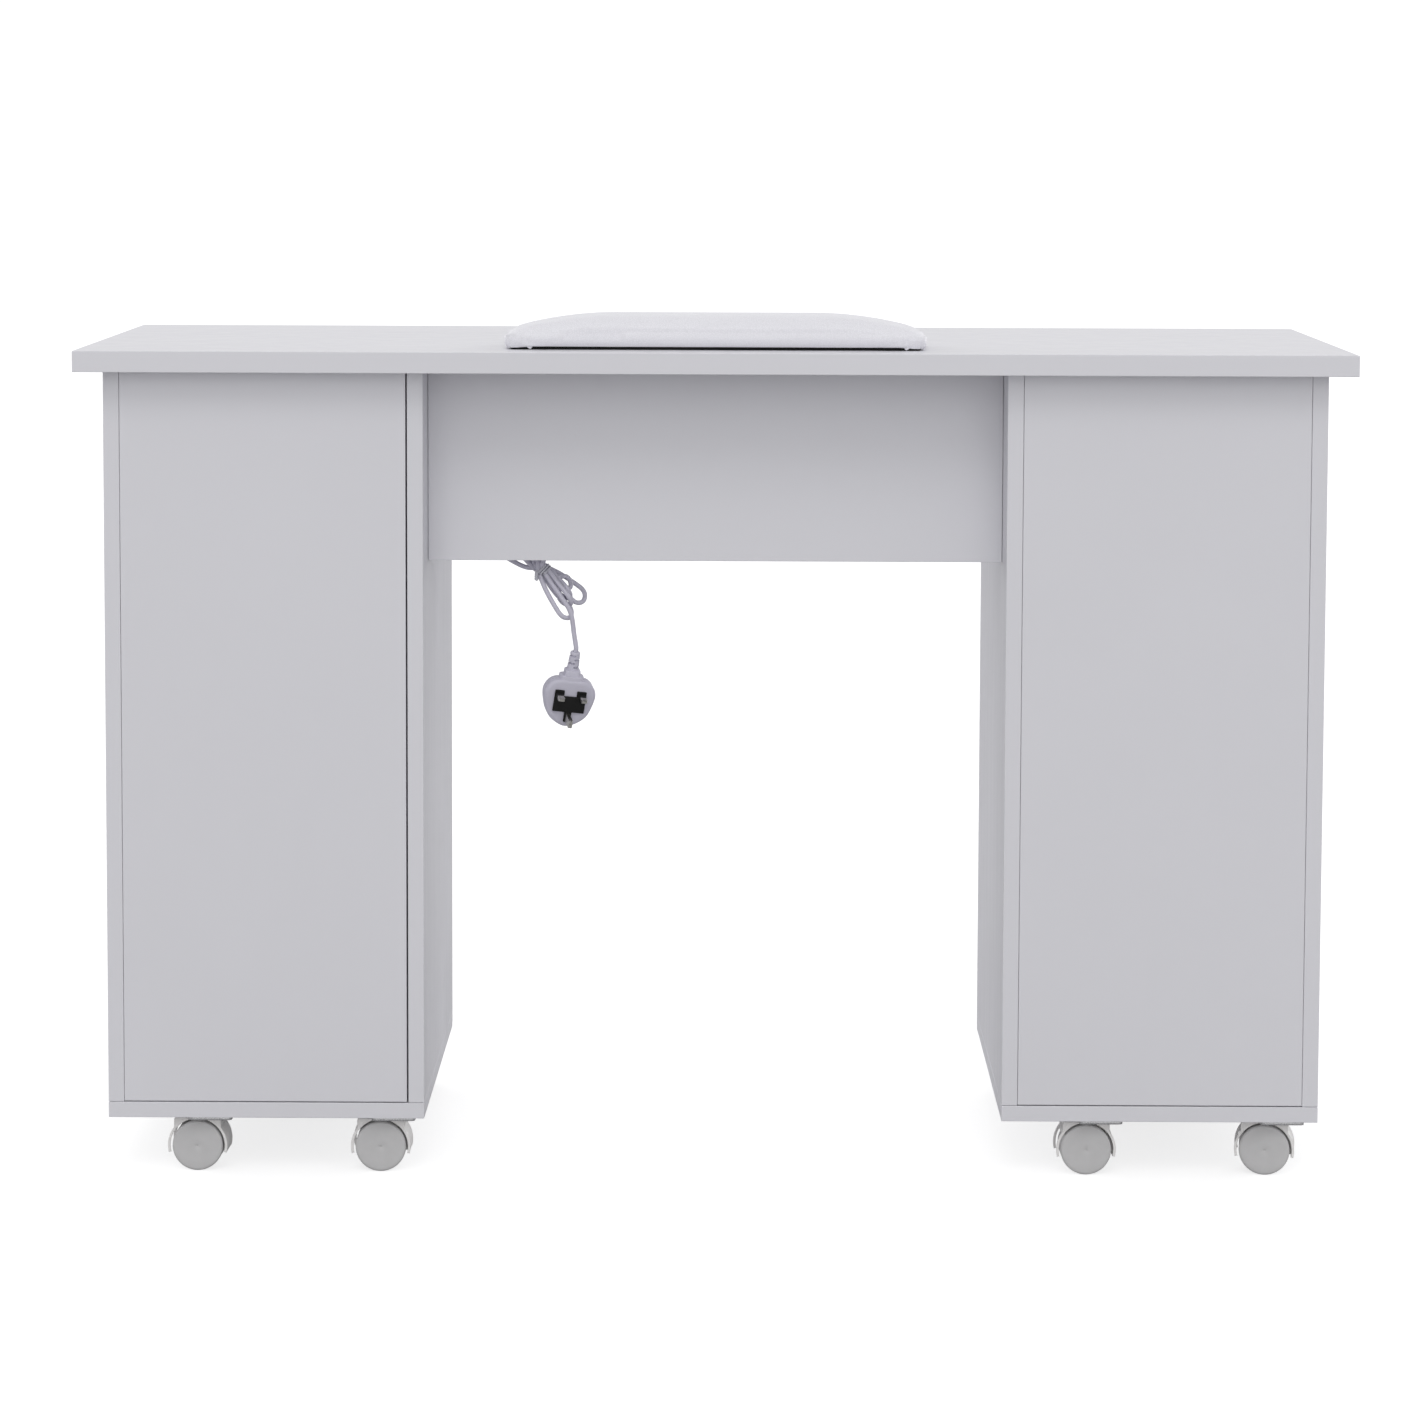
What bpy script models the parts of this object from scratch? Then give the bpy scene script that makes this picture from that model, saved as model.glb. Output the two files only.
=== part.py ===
"""Manicure table: a white board top on two pedestals, a wrist rest, a downdraft fan and eight casters.

Metres, +Z up. The origin is on the floor under the middle of the tabletop. The client sits at -Y and
sees the modesty panel. The technician sits at +Y, where the door and the drawers open.
"""

import math

import bmesh
import bpy
from mathutils import Euler, Vector

# ---- driving dimensions ----
GAP = 0.0003  # air left between pieces that touch
TABLE_W = 1.200
TABLE_D = 0.460
TABLE_H = 0.789
TOP_T = 0.020
BOARD_T = 0.015
EDGE_BEVEL = 0.0006

PEDESTAL_W = 0.301
SIDE_OVERHANG = 0.024
CLIENT_OVERHANG = 0.030
CARCASS_D = 0.386
FRONT_T = 0.015  # door and drawer fronts
FRONT_STANDOFF = 0.002
REVEAL = 0.003  # gap between neighbouring fronts
CLIENT_PANEL_LIFT = 0.0010  # shadow gap under each client panel
LEFT_PANEL_GAP = 0.0015  # shadow gap between the left client panel and the inner side panel
PANEL_RECESS = 0.061
PANEL_H = 0.185

CASTER_H = 0.0553
WHEEL_R = 0.0242
WHEEL_HALF_W = 0.018
CASTER_TRAIL = 0.013  # from the stem's axis to the axle's
CASTER_INSET = 0.032  # from the stem's axis to the end of the pedestal
HOOD_HALF_W = 0.0165
HOOD_OUTER_R = 0.0286
HOOD_INNER_R = 0.0258
WEB_HALF = 0.0042
STEM_R = 0.0030
AXLE_R = 0.0030
CASTER_X = (-0.480, -0.305, 0.370, 0.543)
CLIENT_CASTER_YAW = (-2.0, 0.0, 1.0, -8.0)
REAR_CASTER_YAW = (-5.0, 4.0, 2.0, -3.0)

REST_L = 0.400
REST_D = 0.100
REST_FRONT = 0.043  # from the tabletop's client edge
REST_BASE_T = 0.004
REST_MID_T = 0.0290
REST_END_T = 0.0165
REST_FLAT_HALF = 0.095  # half of the level stretch along the middle

VENT_Y = 0.010
VENT_W = 0.190
VENT_D = 0.140
REBATE = 0.006  # width of the step round the cut-out, which the grille's lip lies in
LIP_T = 0.0017
HOUSING_H = 0.055
HOUSING_WALL = 0.003
FAN_R = 0.052
FAN_BLADES = 7

FAN_HUB_R = 0.0175
FAN_SHAFT_R = 0.0020
IMPELLER_H = 0.014
BLADE_CHORD = 0.017
BLADE_T = 0.0016
BLADE_PITCH = math.radians(36.0)
SLOT_COUNT = 9
SLOT_PITCH = 0.0135
SLOT_W = 0.0065
SWITCH_X = 0.060
SWITCH_DROP = 0.028  # from the tabletop's underside to the switch's middle
SWITCH_W = 0.019
SWITCH_H = 0.016
BEZEL_PROUD = 0.003
GLAND_L = 0.026
GLAND_Y = -0.030
GLAND_DROP = 0.032  # from the tabletop's underside to the gland's axis

SHELF_Z = 0.400
HINGE_H = 0.060
KNUCKLE_R = 0.0026
HINGE_Z = (0.150, 0.670)
KNOB_INSET = 0.035  # from the door's free edge
DOOR_KNOB_Z = 0.520
DRAWER_FRONT_H = (0.2618, 0.2618, 0.180)  # from the bottom up
DRAWER_WALL = 0.010
DRAWER_CLEARANCE = 0.0015
DRAWER_REAR = -0.150
GROOVE_DEPTH = 0.007
GROOVE_H = 0.007
TONGUE_T = 0.005

CORD_R = 0.0023
TIE_AT = (-0.1684, -0.108, 0.573)  # the hank's tie, where its runs come together
HANK_HALF_T = 0.0138
HANK_TIE_R = 0.0095
LOWER_FAN = (math.radians(-58.0), 0.0335, 0.0215)  # direction, length to the round end's centre, its radius
UPPER_FAN = (math.radians(130.0), 0.0320, 0.0210)
LEAD_ROUTE = (
    (-0.1500, -0.030, 0.7355),
    (-0.1760, -0.040, 0.7250),
    (-0.2040, -0.060, 0.7000),
    (-0.2230, -0.082, 0.6670),
    (-0.2330, -0.096, 0.6420),
)
PLUG_CENTRE = (-0.1425, -0.108, 0.444)
PLUG_TURN = (math.radians(11.0), math.radians(7.0), math.radians(13.0))
PLUG_RELIEF_TOP = 0.0505  # above the plug's centre
PLUG_HALF_T = 0.0090
BRIDGE_T = 0.0010  # the black insert's height above the plug's face
PIN_SPACING = 0.02223
PIN_LINE = 0.0075
PIN_L = 0.0177
EARTH_PIN_L = 0.0227

# ---- places worked out from them ----
TOP_UNDER = TABLE_H - TOP_T
CLIENT_EDGE = -TABLE_D / 2
CARCASS_FRONT = CLIENT_EDGE + CLIENT_OVERHANG
CARCASS_REAR = CARCASS_FRONT + CARCASS_D
FRONT_IN = CARCASS_REAR + FRONT_STANDOFF
FRONT_OUT = FRONT_IN + FRONT_T
OUTER_X = TABLE_W / 2 - SIDE_OVERHANG
INNER_X = OUTER_X - PEDESTAL_W
FLOOR_BOARD_TOP = CASTER_H + BOARD_T
PANEL_FRONT = CARCASS_FRONT + PANEL_RECESS
AXLE_Z = WHEEL_R
HOOD_TOP = CASTER_H - 0.0040
STEM_LOW = CASTER_H - 0.0085
HOUSING_LOW = TOP_UNDER - GAP - HOUSING_H
HOUSING_HALF_W = VENT_W / 2 + 0.004  # inside
HOUSING_HALF_D = VENT_D / 2 + 0.004
HOUSING_REAR = VENT_Y + HOUSING_HALF_D + HOUSING_WALL
HOUSING_LEFT = -HOUSING_HALF_W - HOUSING_WALL
IMPELLER_LOW = HOUSING_LOW + 0.0150
SWITCH_Z = TOP_UNDER - SWITCH_DROP
GLAND_Z = TOP_UNDER - GLAND_DROP
HINGE_AXIS = (-OUTER_X - 0.0035, CARCASS_REAR + KNUCKLE_R + 2 * GAP)


# ---- scene, materials and shared tools ----
def clear_scene():
    for obj in list(bpy.data.objects):
        bpy.data.objects.remove(obj, do_unlink=True)


def new_collection(name):
    collection = bpy.data.collections.new(name)
    bpy.context.scene.collection.children.link(collection)
    return collection


def principled(name, colour, roughness, metallic=0.0):
    material = bpy.data.materials.new(name)
    material.use_nodes = True
    shader = material.node_tree.nodes["Principled BSDF"]
    shader.inputs["Base Color"].default_value = (*colour, 1.0)
    shader.inputs["Roughness"].default_value = roughness
    shader.inputs["Metallic"].default_value = metallic
    material.diffuse_color = (*colour, 1.0)
    return material


def put(name, mesh, material=None):
    """A named object of this mesh, among the parts, or among the cutters when it has no material."""
    obj = bpy.data.objects.new(name, mesh)
    if material is None:
        CUTTERS.objects.link(obj)
        obj.hide_render = True
        obj.display_type = "WIRE"
    else:
        PARTS.objects.link(obj)
        if not mesh.materials:
            mesh.materials.append(material)
    return obj


def mesh_of(fill, name):
    """A mesh made by one call that fills a bmesh."""
    work = bmesh.new()
    fill(work)
    bmesh.ops.recalc_face_normals(work, faces=work.faces)
    mesh = bpy.data.meshes.new(name)
    work.to_mesh(mesh)
    work.free()
    return mesh


def box(name, low, high, material=None, bevel=0.0):
    size = [b - a for a, b in zip(low, high)]
    middle = [(a + b) / 2 for a, b in zip(low, high)]

    def fill(work):
        bmesh.ops.create_cube(work, size=1.0)
        bmesh.ops.scale(work, vec=size, verts=work.verts)

    obj = put(name, mesh_of(fill, name), material)
    obj.location = middle
    if bevel:
        soften(obj, bevel)
    return obj


def soften(obj, width, segments=2):
    modifier = obj.modifiers.new("Rounded edges", "BEVEL")
    modifier.width = width
    modifier.segments = segments
    modifier.limit_method = "ANGLE"
    return modifier


def cylinder(name, radius, low, high, centre, axis="Z", sides=24, material=None):
    """A cylinder whose axis runs along Y or Z from low to high through centre's other two coordinates."""

    def fill(work):
        bmesh.ops.create_cone(
            work, cap_ends=True, segments=sides, radius1=radius, radius2=radius, depth=high - low
        )

    obj = put(name, mesh_of(fill, name), material)
    place = list(centre)
    place["XYZ".index(axis)] = (low + high) / 2
    obj.location = place
    if axis == "Y":
        obj.rotation_euler.x = math.pi / 2
    return obj


def turned(name, profile, steps, material=None):
    """A profile of (radius, height) points turned about Z, from the top down the outer side."""
    mesh = bpy.data.meshes.new(name)
    points = [(radius, 0.0, height) for radius, height in profile]
    mesh.from_pydata(points, [(i, i + 1) for i in range(len(points) - 1)], [])
    obj = put(name, mesh, material)
    screw = obj.modifiers.new("Turned", "SCREW")
    screw.steps = steps
    screw.render_steps = steps
    screw.use_merge_vertices = True
    screw.merge_threshold = 0.00005
    screw.use_smooth_shade = False
    return obj


def outline(name, points, half_thickness, material=None):
    """A closed flat polygon in its own XY plane, thickened to both sides."""
    curve = bpy.data.curves.new(name, "CURVE")
    curve.dimensions = "2D"
    curve.fill_mode = "BOTH"
    curve.extrude = half_thickness
    spline = curve.splines.new("POLY")
    spline.points.add(len(points) - 1)
    for target, (x, y) in zip(spline.points, points):
        target.co = (x, y, 0.0, 1.0)
    spline.use_cyclic_u = True
    return put(name, curve, material)


def as_mesh(obj, material=None):
    """Swaps an object for one that holds its evaluated mesh, with loose caps welded."""
    bpy.context.view_layer.update()
    evaluated = obj.evaluated_get(bpy.context.evaluated_depsgraph_get())
    mesh = bpy.data.meshes.new_from_object(evaluated)
    work = bmesh.new()
    work.from_mesh(mesh)
    bmesh.ops.remove_doubles(work, verts=work.verts, dist=0.00001)
    work.to_mesh(mesh)
    work.free()
    name = obj.name
    place = obj.matrix_world.copy()
    bpy.data.objects.remove(obj, do_unlink=True)
    mesh.materials.clear()
    swapped = put(name, mesh, material)
    swapped.matrix_world = place
    return swapped


def bake_place(obj):
    """Moves an object's place into its mesh, so that its origin is the world's."""
    obj.data.transform(obj.matrix_world)
    obj.matrix_world.identity()


def combine(target, other, operation):
    modifier = target.modifiers.new(operation.title() + " " + other.name, "BOOLEAN")
    modifier.operation = operation
    modifier.object = other
    modifier.solver = "EXACT"


def cut(target, *others):
    for other in others:
        combine(target, other, "DIFFERENCE")


def join(target, *others):
    for other in others:
        combine(target, other, "UNION")


def smooth_round(obj, degrees=35.0):
    for polygon in obj.data.polygons:
        polygon.use_smooth = True
    obj.data.set_sharp_from_angle(angle=math.radians(degrees))


def smooth_route(points, step):
    """Points every step or so along a Catmull-Rom curve through the given ones."""
    guides = [Vector(point) for point in points]
    guides = [2 * guides[0] - guides[1], *guides, 2 * guides[-1] - guides[-2]]
    route = []
    for a, b, c, d in zip(guides, guides[1:], guides[2:], guides[3:]):
        pieces = max(2, round((c - b).length / step))
        for i in range(pieces):
            t = i / pieces
            bend = (2 * a - 5 * b + 4 * c - d) * t**2 + (3 * b - a - 3 * c + d) * t**3
            route.append(0.5 * (2 * b + (c - a) * t + bend))
    route.append(guides[-2])
    return route


def tube(name, points, radius, material):
    curve = bpy.data.curves.new(name, "CURVE")
    curve.dimensions = "3D"
    curve.bevel_depth = radius
    curve.bevel_resolution = 2
    curve.use_fill_caps = True
    spline = curve.splines.new("POLY")
    spline.points.add(len(points) - 1)
    for target, point in zip(spline.points, points):
        target.co = (*point, 1.0)
    return put(name, curve, material)


# ---- tabletop and pedestals ----
def tabletop():
    top = box(
        "tabletop",
        (-TABLE_W / 2, -TABLE_D / 2, TOP_UNDER),
        (TABLE_W / 2, TABLE_D / 2, TABLE_H),
        LAMINATE,
        EDGE_BEVEL,
    )
    hole = box(
        "tabletop_vent_cutter",
        (-VENT_W / 2, VENT_Y - VENT_D / 2, TOP_UNDER - 0.01),
        (VENT_W / 2, VENT_Y + VENT_D / 2, TABLE_H + 0.01),
    )
    rebate = box(
        "tabletop_rebate_cutter",
        (-VENT_W / 2 - REBATE, VENT_Y - VENT_D / 2 - REBATE, TABLE_H - LIP_T - GAP),
        (VENT_W / 2 + REBATE, VENT_Y + VENT_D / 2 + REBATE, TABLE_H + 0.01),
    )
    cut(top, hole, rebate)


def upright(name, x_low, x_high):
    return box(
        name,
        (x_low, CARCASS_FRONT, FLOOR_BOARD_TOP + GAP),
        (x_high, CARCASS_REAR, TOP_UNDER - GAP),
        LAMINATE,
        EDGE_BEVEL,
    )


def pedestal(side, sign):
    """The fixed boards of one pedestal. sign is -1 on the left and +1 on the right."""
    edges = sorted((sign * INNER_X, sign * OUTER_X))
    right_gap = LEFT_PANEL_GAP if side == "left" else GAP
    outer = sorted((sign * (OUTER_X - BOARD_T), sign * OUTER_X))
    inner = sorted((sign * INNER_X, sign * (INNER_X + BOARD_T)))
    panels = (
        upright(f"{side}_outer_side_panel", *outer),
        upright(f"{side}_inner_side_panel", *inner),
    )
    box(
        f"{side}_floor_board",
        (edges[0], CARCASS_FRONT, CASTER_H),
        (edges[1], CARCASS_REAR, FLOOR_BOARD_TOP),
        LAMINATE,
        EDGE_BEVEL,
    )
    box(
        f"{side}_client_panel",
        (edges[0] + BOARD_T + GAP, CARCASS_FRONT, FLOOR_BOARD_TOP + CLIENT_PANEL_LIFT),
        (edges[1] - BOARD_T - right_gap, CARCASS_FRONT + BOARD_T, TOP_UNDER - GAP),
        LAMINATE,
        EDGE_BEVEL,
    )
    return panels


def modesty_panel():
    box(
        "modesty_panel",
        (-INNER_X + GAP, PANEL_FRONT, TOP_UNDER - PANEL_H),
        (INNER_X - GAP, PANEL_FRONT + BOARD_T, TOP_UNDER - GAP),
        LAMINATE,
        EDGE_BEVEL,
    )


# ---- knobs, door, hinges and shelf ----
def knob(name, x, z):
    profile = [
        (0.0, 0.0215),
        (0.0095, 0.0212),
        (0.0132, 0.0190),
        (0.0140, 0.0165),
        (0.0120, 0.0130),
        (0.0060, 0.0100),
        (0.0055, 0.0040),
        (0.0085, 0.0010),
        (0.0085, 0.0),
        (0.0, 0.0),
    ]
    obj = turned(name, profile, 20, STEEL)
    obj.location = (x, FRONT_OUT + GAP, z)
    obj.rotation_euler.x = -math.pi / 2
    smooth_round(obj)


def door():
    """The left pedestal's door, its knob, its two butt hinges and the shelf behind it."""
    box(
        "door",
        (-OUTER_X + 0.001, FRONT_IN, CASTER_H + 0.001),
        (-INNER_X - 0.001, FRONT_OUT, TOP_UNDER - REVEAL),
        LAMINATE,
        EDGE_BEVEL,
    )
    knob("door_knob", -INNER_X - KNOB_INSET, DOOR_KNOB_Z)
    for name, z in zip(("lower_hinge", "upper_hinge"), HINGE_Z):
        hinge(name, z)
    box(
        "cabinet_shelf",
        (-OUTER_X + BOARD_T + GAP, CARCASS_FRONT + BOARD_T + GAP, SHELF_Z),
        (-INNER_X - BOARD_T - GAP, CARCASS_REAR - 0.006, SHELF_Z + BOARD_T),
        LAMINATE,
        EDGE_BEVEL,
    )


def hinge(name, z):
    """A butt hinge: the knuckle stands at the corner and the fixed leaf lies on the side panel's edge."""
    x, y = HINGE_AXIS
    leaf = box(
        name,
        (x, CARCASS_REAR + GAP, z - HINGE_H / 2 + 0.0005),
        (x + 0.016, CARCASS_REAR + GAP + 0.0009, z + HINGE_H / 2 - 0.0005),
        STEEL,
    )
    knuckle = cylinder(name + "_knuckle", KNUCKLE_R, z - HINGE_H / 2, z + HINGE_H / 2, (x, y, 0.0), sides=16)
    join(leaf, knuckle)


# ---- drawers ----
def drawer(name, low, height, panels):
    """One drawer with its front's lower edge at low. Its bottom runs in grooves in the side panels."""
    box(
        f"{name}_front",
        (INNER_X + 0.001, FRONT_IN, low),
        (OUTER_X - 0.001, FRONT_OUT, low + height),
        LAMINATE,
        EDGE_BEVEL,
    )
    knob(f"{name}_knob", (INNER_X + OUTER_X) / 2, low + height / 2)
    bay = (INNER_X + BOARD_T, OUTER_X - BOARD_T)
    left = bay[0] + DRAWER_CLEARANCE
    right = bay[1] - DRAWER_CLEARANCE
    floor = low + 0.024
    rim = floor + height - 0.070
    tray = box(f"{name}_box", (left, DRAWER_REAR, floor), (right, FRONT_IN - GAP, rim), DRAWER_BOARD)
    hollow = box(
        f"{name}_hollow_cutter",
        (left + DRAWER_WALL, DRAWER_REAR + DRAWER_WALL, floor + 0.006),
        (right - DRAWER_WALL, FRONT_IN - GAP - DRAWER_WALL, rim + 0.01),
    )
    tongue = box(
        f"{name}_tongue",
        (bay[0] - GROOVE_DEPTH + 0.001, DRAWER_REAR + 0.002, floor + 0.0005),
        (bay[1] + GROOVE_DEPTH - 0.001, CARCASS_REAR - 0.004, floor + 0.0005 + TONGUE_T),
    )
    join(tray, tongue)
    cut(tray, hollow)
    groove = box(
        f"{name}_groove_cutter",
        (bay[0] - GROOVE_DEPTH, DRAWER_REAR - 0.004, floor - 0.0005),
        (bay[1] + GROOVE_DEPTH, CARCASS_REAR + 0.010, floor - 0.0005 + GROOVE_H),
    )
    for panel in panels:
        cut(panel, groove)


def drawers(panels):
    low = CASTER_H + 0.001
    for name, height in zip(("lower_drawer", "middle_drawer", "upper_drawer"), DRAWER_FRONT_H):
        drawer(name, low, height, panels)
        low += height + REVEAL


# ---- casters ----
def caster_plate_mesh():
    """Mounting plate, raised race and stem, about the stem's axis."""
    plate = box(
        "caster_plate", (-0.021, -0.029, CASTER_H - GAP - 0.003), (0.021, 0.029, CASTER_H - GAP), STEEL
    )
    corners = plate.modifiers.new("Round corners", "BEVEL")
    corners.affect = "EDGES"
    corners.width = 0.0006
    corners.segments = 1
    race = cylinder("caster_race", 0.0110, CASTER_H - 0.0038, CASTER_H - 0.0020, (0, 0, 0))
    stem = cylinder("caster_stem", STEM_R, STEM_LOW, CASTER_H - 0.0030, (0, 0, 0), sides=16)
    join(plate, race, stem)
    return plate


def caster_hood_mesh():
    """Twin-wheel hood about the stem's axis: two half rings on a middle web that holds the axle."""
    axle_x = -CASTER_TRAIL
    centre = (axle_x, 0.0, AXLE_Z)
    hood = cylinder("caster_hood", HOOD_OUTER_R, -HOOD_HALF_W, HOOD_HALF_W, centre, "Y", 40, GREY_PLASTIC)
    crown = box(
        "caster_crown",
        (axle_x - 0.0220, -HOOD_HALF_W + 0.0002, AXLE_Z + 0.010),
        (axle_x + 0.0230, HOOD_HALF_W - 0.0002, HOOD_TOP + 0.002),
    )
    above = box("caster_above_cutter", (-0.06, -0.04, HOOD_TOP), (0.06, 0.04, HOOD_TOP + 0.02))
    below = box("caster_below_cutter", (-0.06, -0.04, -0.02), (0.06, 0.04, AXLE_Z - 0.0070))
    front = cylinder("caster_front_pocket", HOOD_INNER_R, -0.03, -WEB_HALF, centre, "Y", 40)
    rear = cylinder("caster_rear_pocket", HOOD_INNER_R, WEB_HALF, 0.03, centre, "Y", 40)
    window = box(
        "caster_web_window",
        (axle_x - 0.0225, -0.01, AXLE_Z - 0.0120),
        (axle_x - 0.0090, 0.01, AXLE_Z + 0.0120),
    )
    axle_bore = cylinder("caster_axle_bore", AXLE_R + 0.0002, -0.02, 0.02, centre, "Y", 16)
    stem_bore = cylinder("caster_stem_bore", STEM_R + 0.0002, STEM_LOW - 0.0005, 0.07, (0, 0, 0), sides=16)
    join(hood, crown)
    cut(hood, above, below, front, rear, window, axle_bore, stem_bore)
    return hood


def caster_wheels_mesh():
    """Both wheels and the axle between them, about the axle, which lies along Z here."""
    half = [
        (0.0, WHEEL_HALF_W - 0.0010),
        (0.0205, WHEEL_HALF_W - 0.0010),
        (0.0212, WHEEL_HALF_W),
        (WHEEL_R - 0.0014, WHEEL_HALF_W),
        (WHEEL_R, WHEEL_HALF_W - 0.0016),
        (WHEEL_R, WEB_HALF + 0.0020),
        (WHEEL_R - 0.0016, WEB_HALF + 0.0004),
        (AXLE_R, WEB_HALF + 0.0004),
    ]
    profile = half + [(radius, -height) for radius, height in reversed(half)]
    return turned("caster_wheels", profile, 32, GREY_PLASTIC)


def casters():
    plate = as_mesh(caster_plate_mesh(), STEEL)
    hood = as_mesh(caster_hood_mesh(), GREY_PLASTIC)
    wheels = as_mesh(caster_wheels_mesh(), WHEEL_PLASTIC)
    for obj in (plate, hood, wheels):
        bake_place(obj)
    for obj in (hood, wheels):
        smooth_round(obj)
    models = {"plate": plate.data, "hood": hood.data, "wheels": wheels.data}
    for obj in (plate, hood, wheels):
        bpy.data.objects.remove(obj, do_unlink=True)
    rows = (
        ("client", CARCASS_FRONT + CASTER_INSET, CLIENT_CASTER_YAW),
        ("rear", CARCASS_REAR - CASTER_INSET, REAR_CASTER_YAW),
    )
    for row, y, yaws in rows:
        for number, (x, yaw) in enumerate(zip(CASTER_X, yaws), 1):
            stem = f"{row}_caster_{number}"
            put(f"{stem}_plate", models["plate"], STEEL).location = (x, y, 0.0)
            turn = math.radians(yaw)
            swivel = put(f"{stem}_hood", models["hood"], GREY_PLASTIC)
            swivel.location = (x, y, 0.0)
            swivel.rotation_euler.z = turn
            pair = put(f"{stem}_wheels", models["wheels"], WHEEL_PLASTIC)
            trail = Vector((-CASTER_TRAIL * math.cos(turn), -CASTER_TRAIL * math.sin(turn), AXLE_Z))
            pair.location = Vector((x, y, 0.0)) + trail
            pair.rotation_euler = Euler((math.pi / 2, 0.0, turn))


# ---- wrist rest ----
def rest_height(x):
    """Thickness of the cushion at x: level in the middle, falling to its ends."""
    t = (abs(x) - REST_FLAT_HALF) / (REST_L / 2 - REST_FLAT_HALF)
    t = min(max(t, 0.0), 1.0)
    return REST_END_T + (REST_MID_T - REST_END_T) * (0.5 + 0.5 * math.cos(math.pi * t))


def wrist_rest():
    middle_y = CLIENT_EDGE + REST_FRONT + REST_D / 2
    base_top = TABLE_H + GAP + REST_BASE_T
    box(
        "wrist_rest_base",
        (-REST_L / 2 + 0.006, middle_y - REST_D / 2 + 0.006, TABLE_H + GAP),
        (REST_L / 2 - 0.006, middle_y + REST_D / 2 - 0.006, base_top),
        BLACK_BOARD,
    )

    def fill(work):
        bmesh.ops.create_cube(work, size=1.0)
        bmesh.ops.scale(work, vec=(REST_L, REST_D, 1.0), verts=work.verts)
        for i in range(1, 16):
            bmesh.ops.bisect_plane(
                work,
                geom=[*work.verts, *work.edges, *work.faces],
                plane_co=(REST_L * (i / 16 - 0.5), 0.0, 0.0),
                plane_no=(1.0, 0.0, 0.0),
            )
        for vertex in work.verts:
            vertex.co.z = rest_height(vertex.co.x) if vertex.co.z > 0 else 0.0

    cushion = put("wrist_rest_cushion", mesh_of(fill, "wrist_rest_cushion"), LEATHER)
    cushion.location = (0.0, middle_y, base_top + GAP)
    modifier = soften(cushion, 0.006, 3)
    modifier.angle_limit = math.radians(45.0)
    smooth_round(cushion, 60.0)


# ---- downdraft fan ----
def vent_grille():
    """A lip that lies in the tabletop's rebate and a slotted tray that drops into the cut-out."""
    tray = box(
        "vent_grille",
        (-VENT_W / 2 + 0.001, VENT_Y - VENT_D / 2 + 0.001, TABLE_H - 0.006),
        (VENT_W / 2 - 0.001, VENT_Y + VENT_D / 2 - 0.001, TABLE_H - LIP_T / 2),
        WHITE_PLASTIC,
    )
    reach = REBATE - 2 * GAP
    lip = box(
        "vent_grille_lip",
        (-VENT_W / 2 - reach, VENT_Y - VENT_D / 2 - reach, TABLE_H - LIP_T),
        (VENT_W / 2 + reach, VENT_Y + VENT_D / 2 + reach, TABLE_H),
    )
    join(tray, lip)
    for i in range(SLOT_COUNT):
        y = VENT_Y + (i - (SLOT_COUNT - 1) / 2) * SLOT_PITCH
        slot = box(
            f"vent_slot_{i}",
            (-VENT_W / 2 + 0.012, y - SLOT_W / 2, TABLE_H - 0.02),
            (VENT_W / 2 - 0.012, y + SLOT_W / 2, TABLE_H + 0.02),
        )
        cut(tray, slot)


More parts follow.
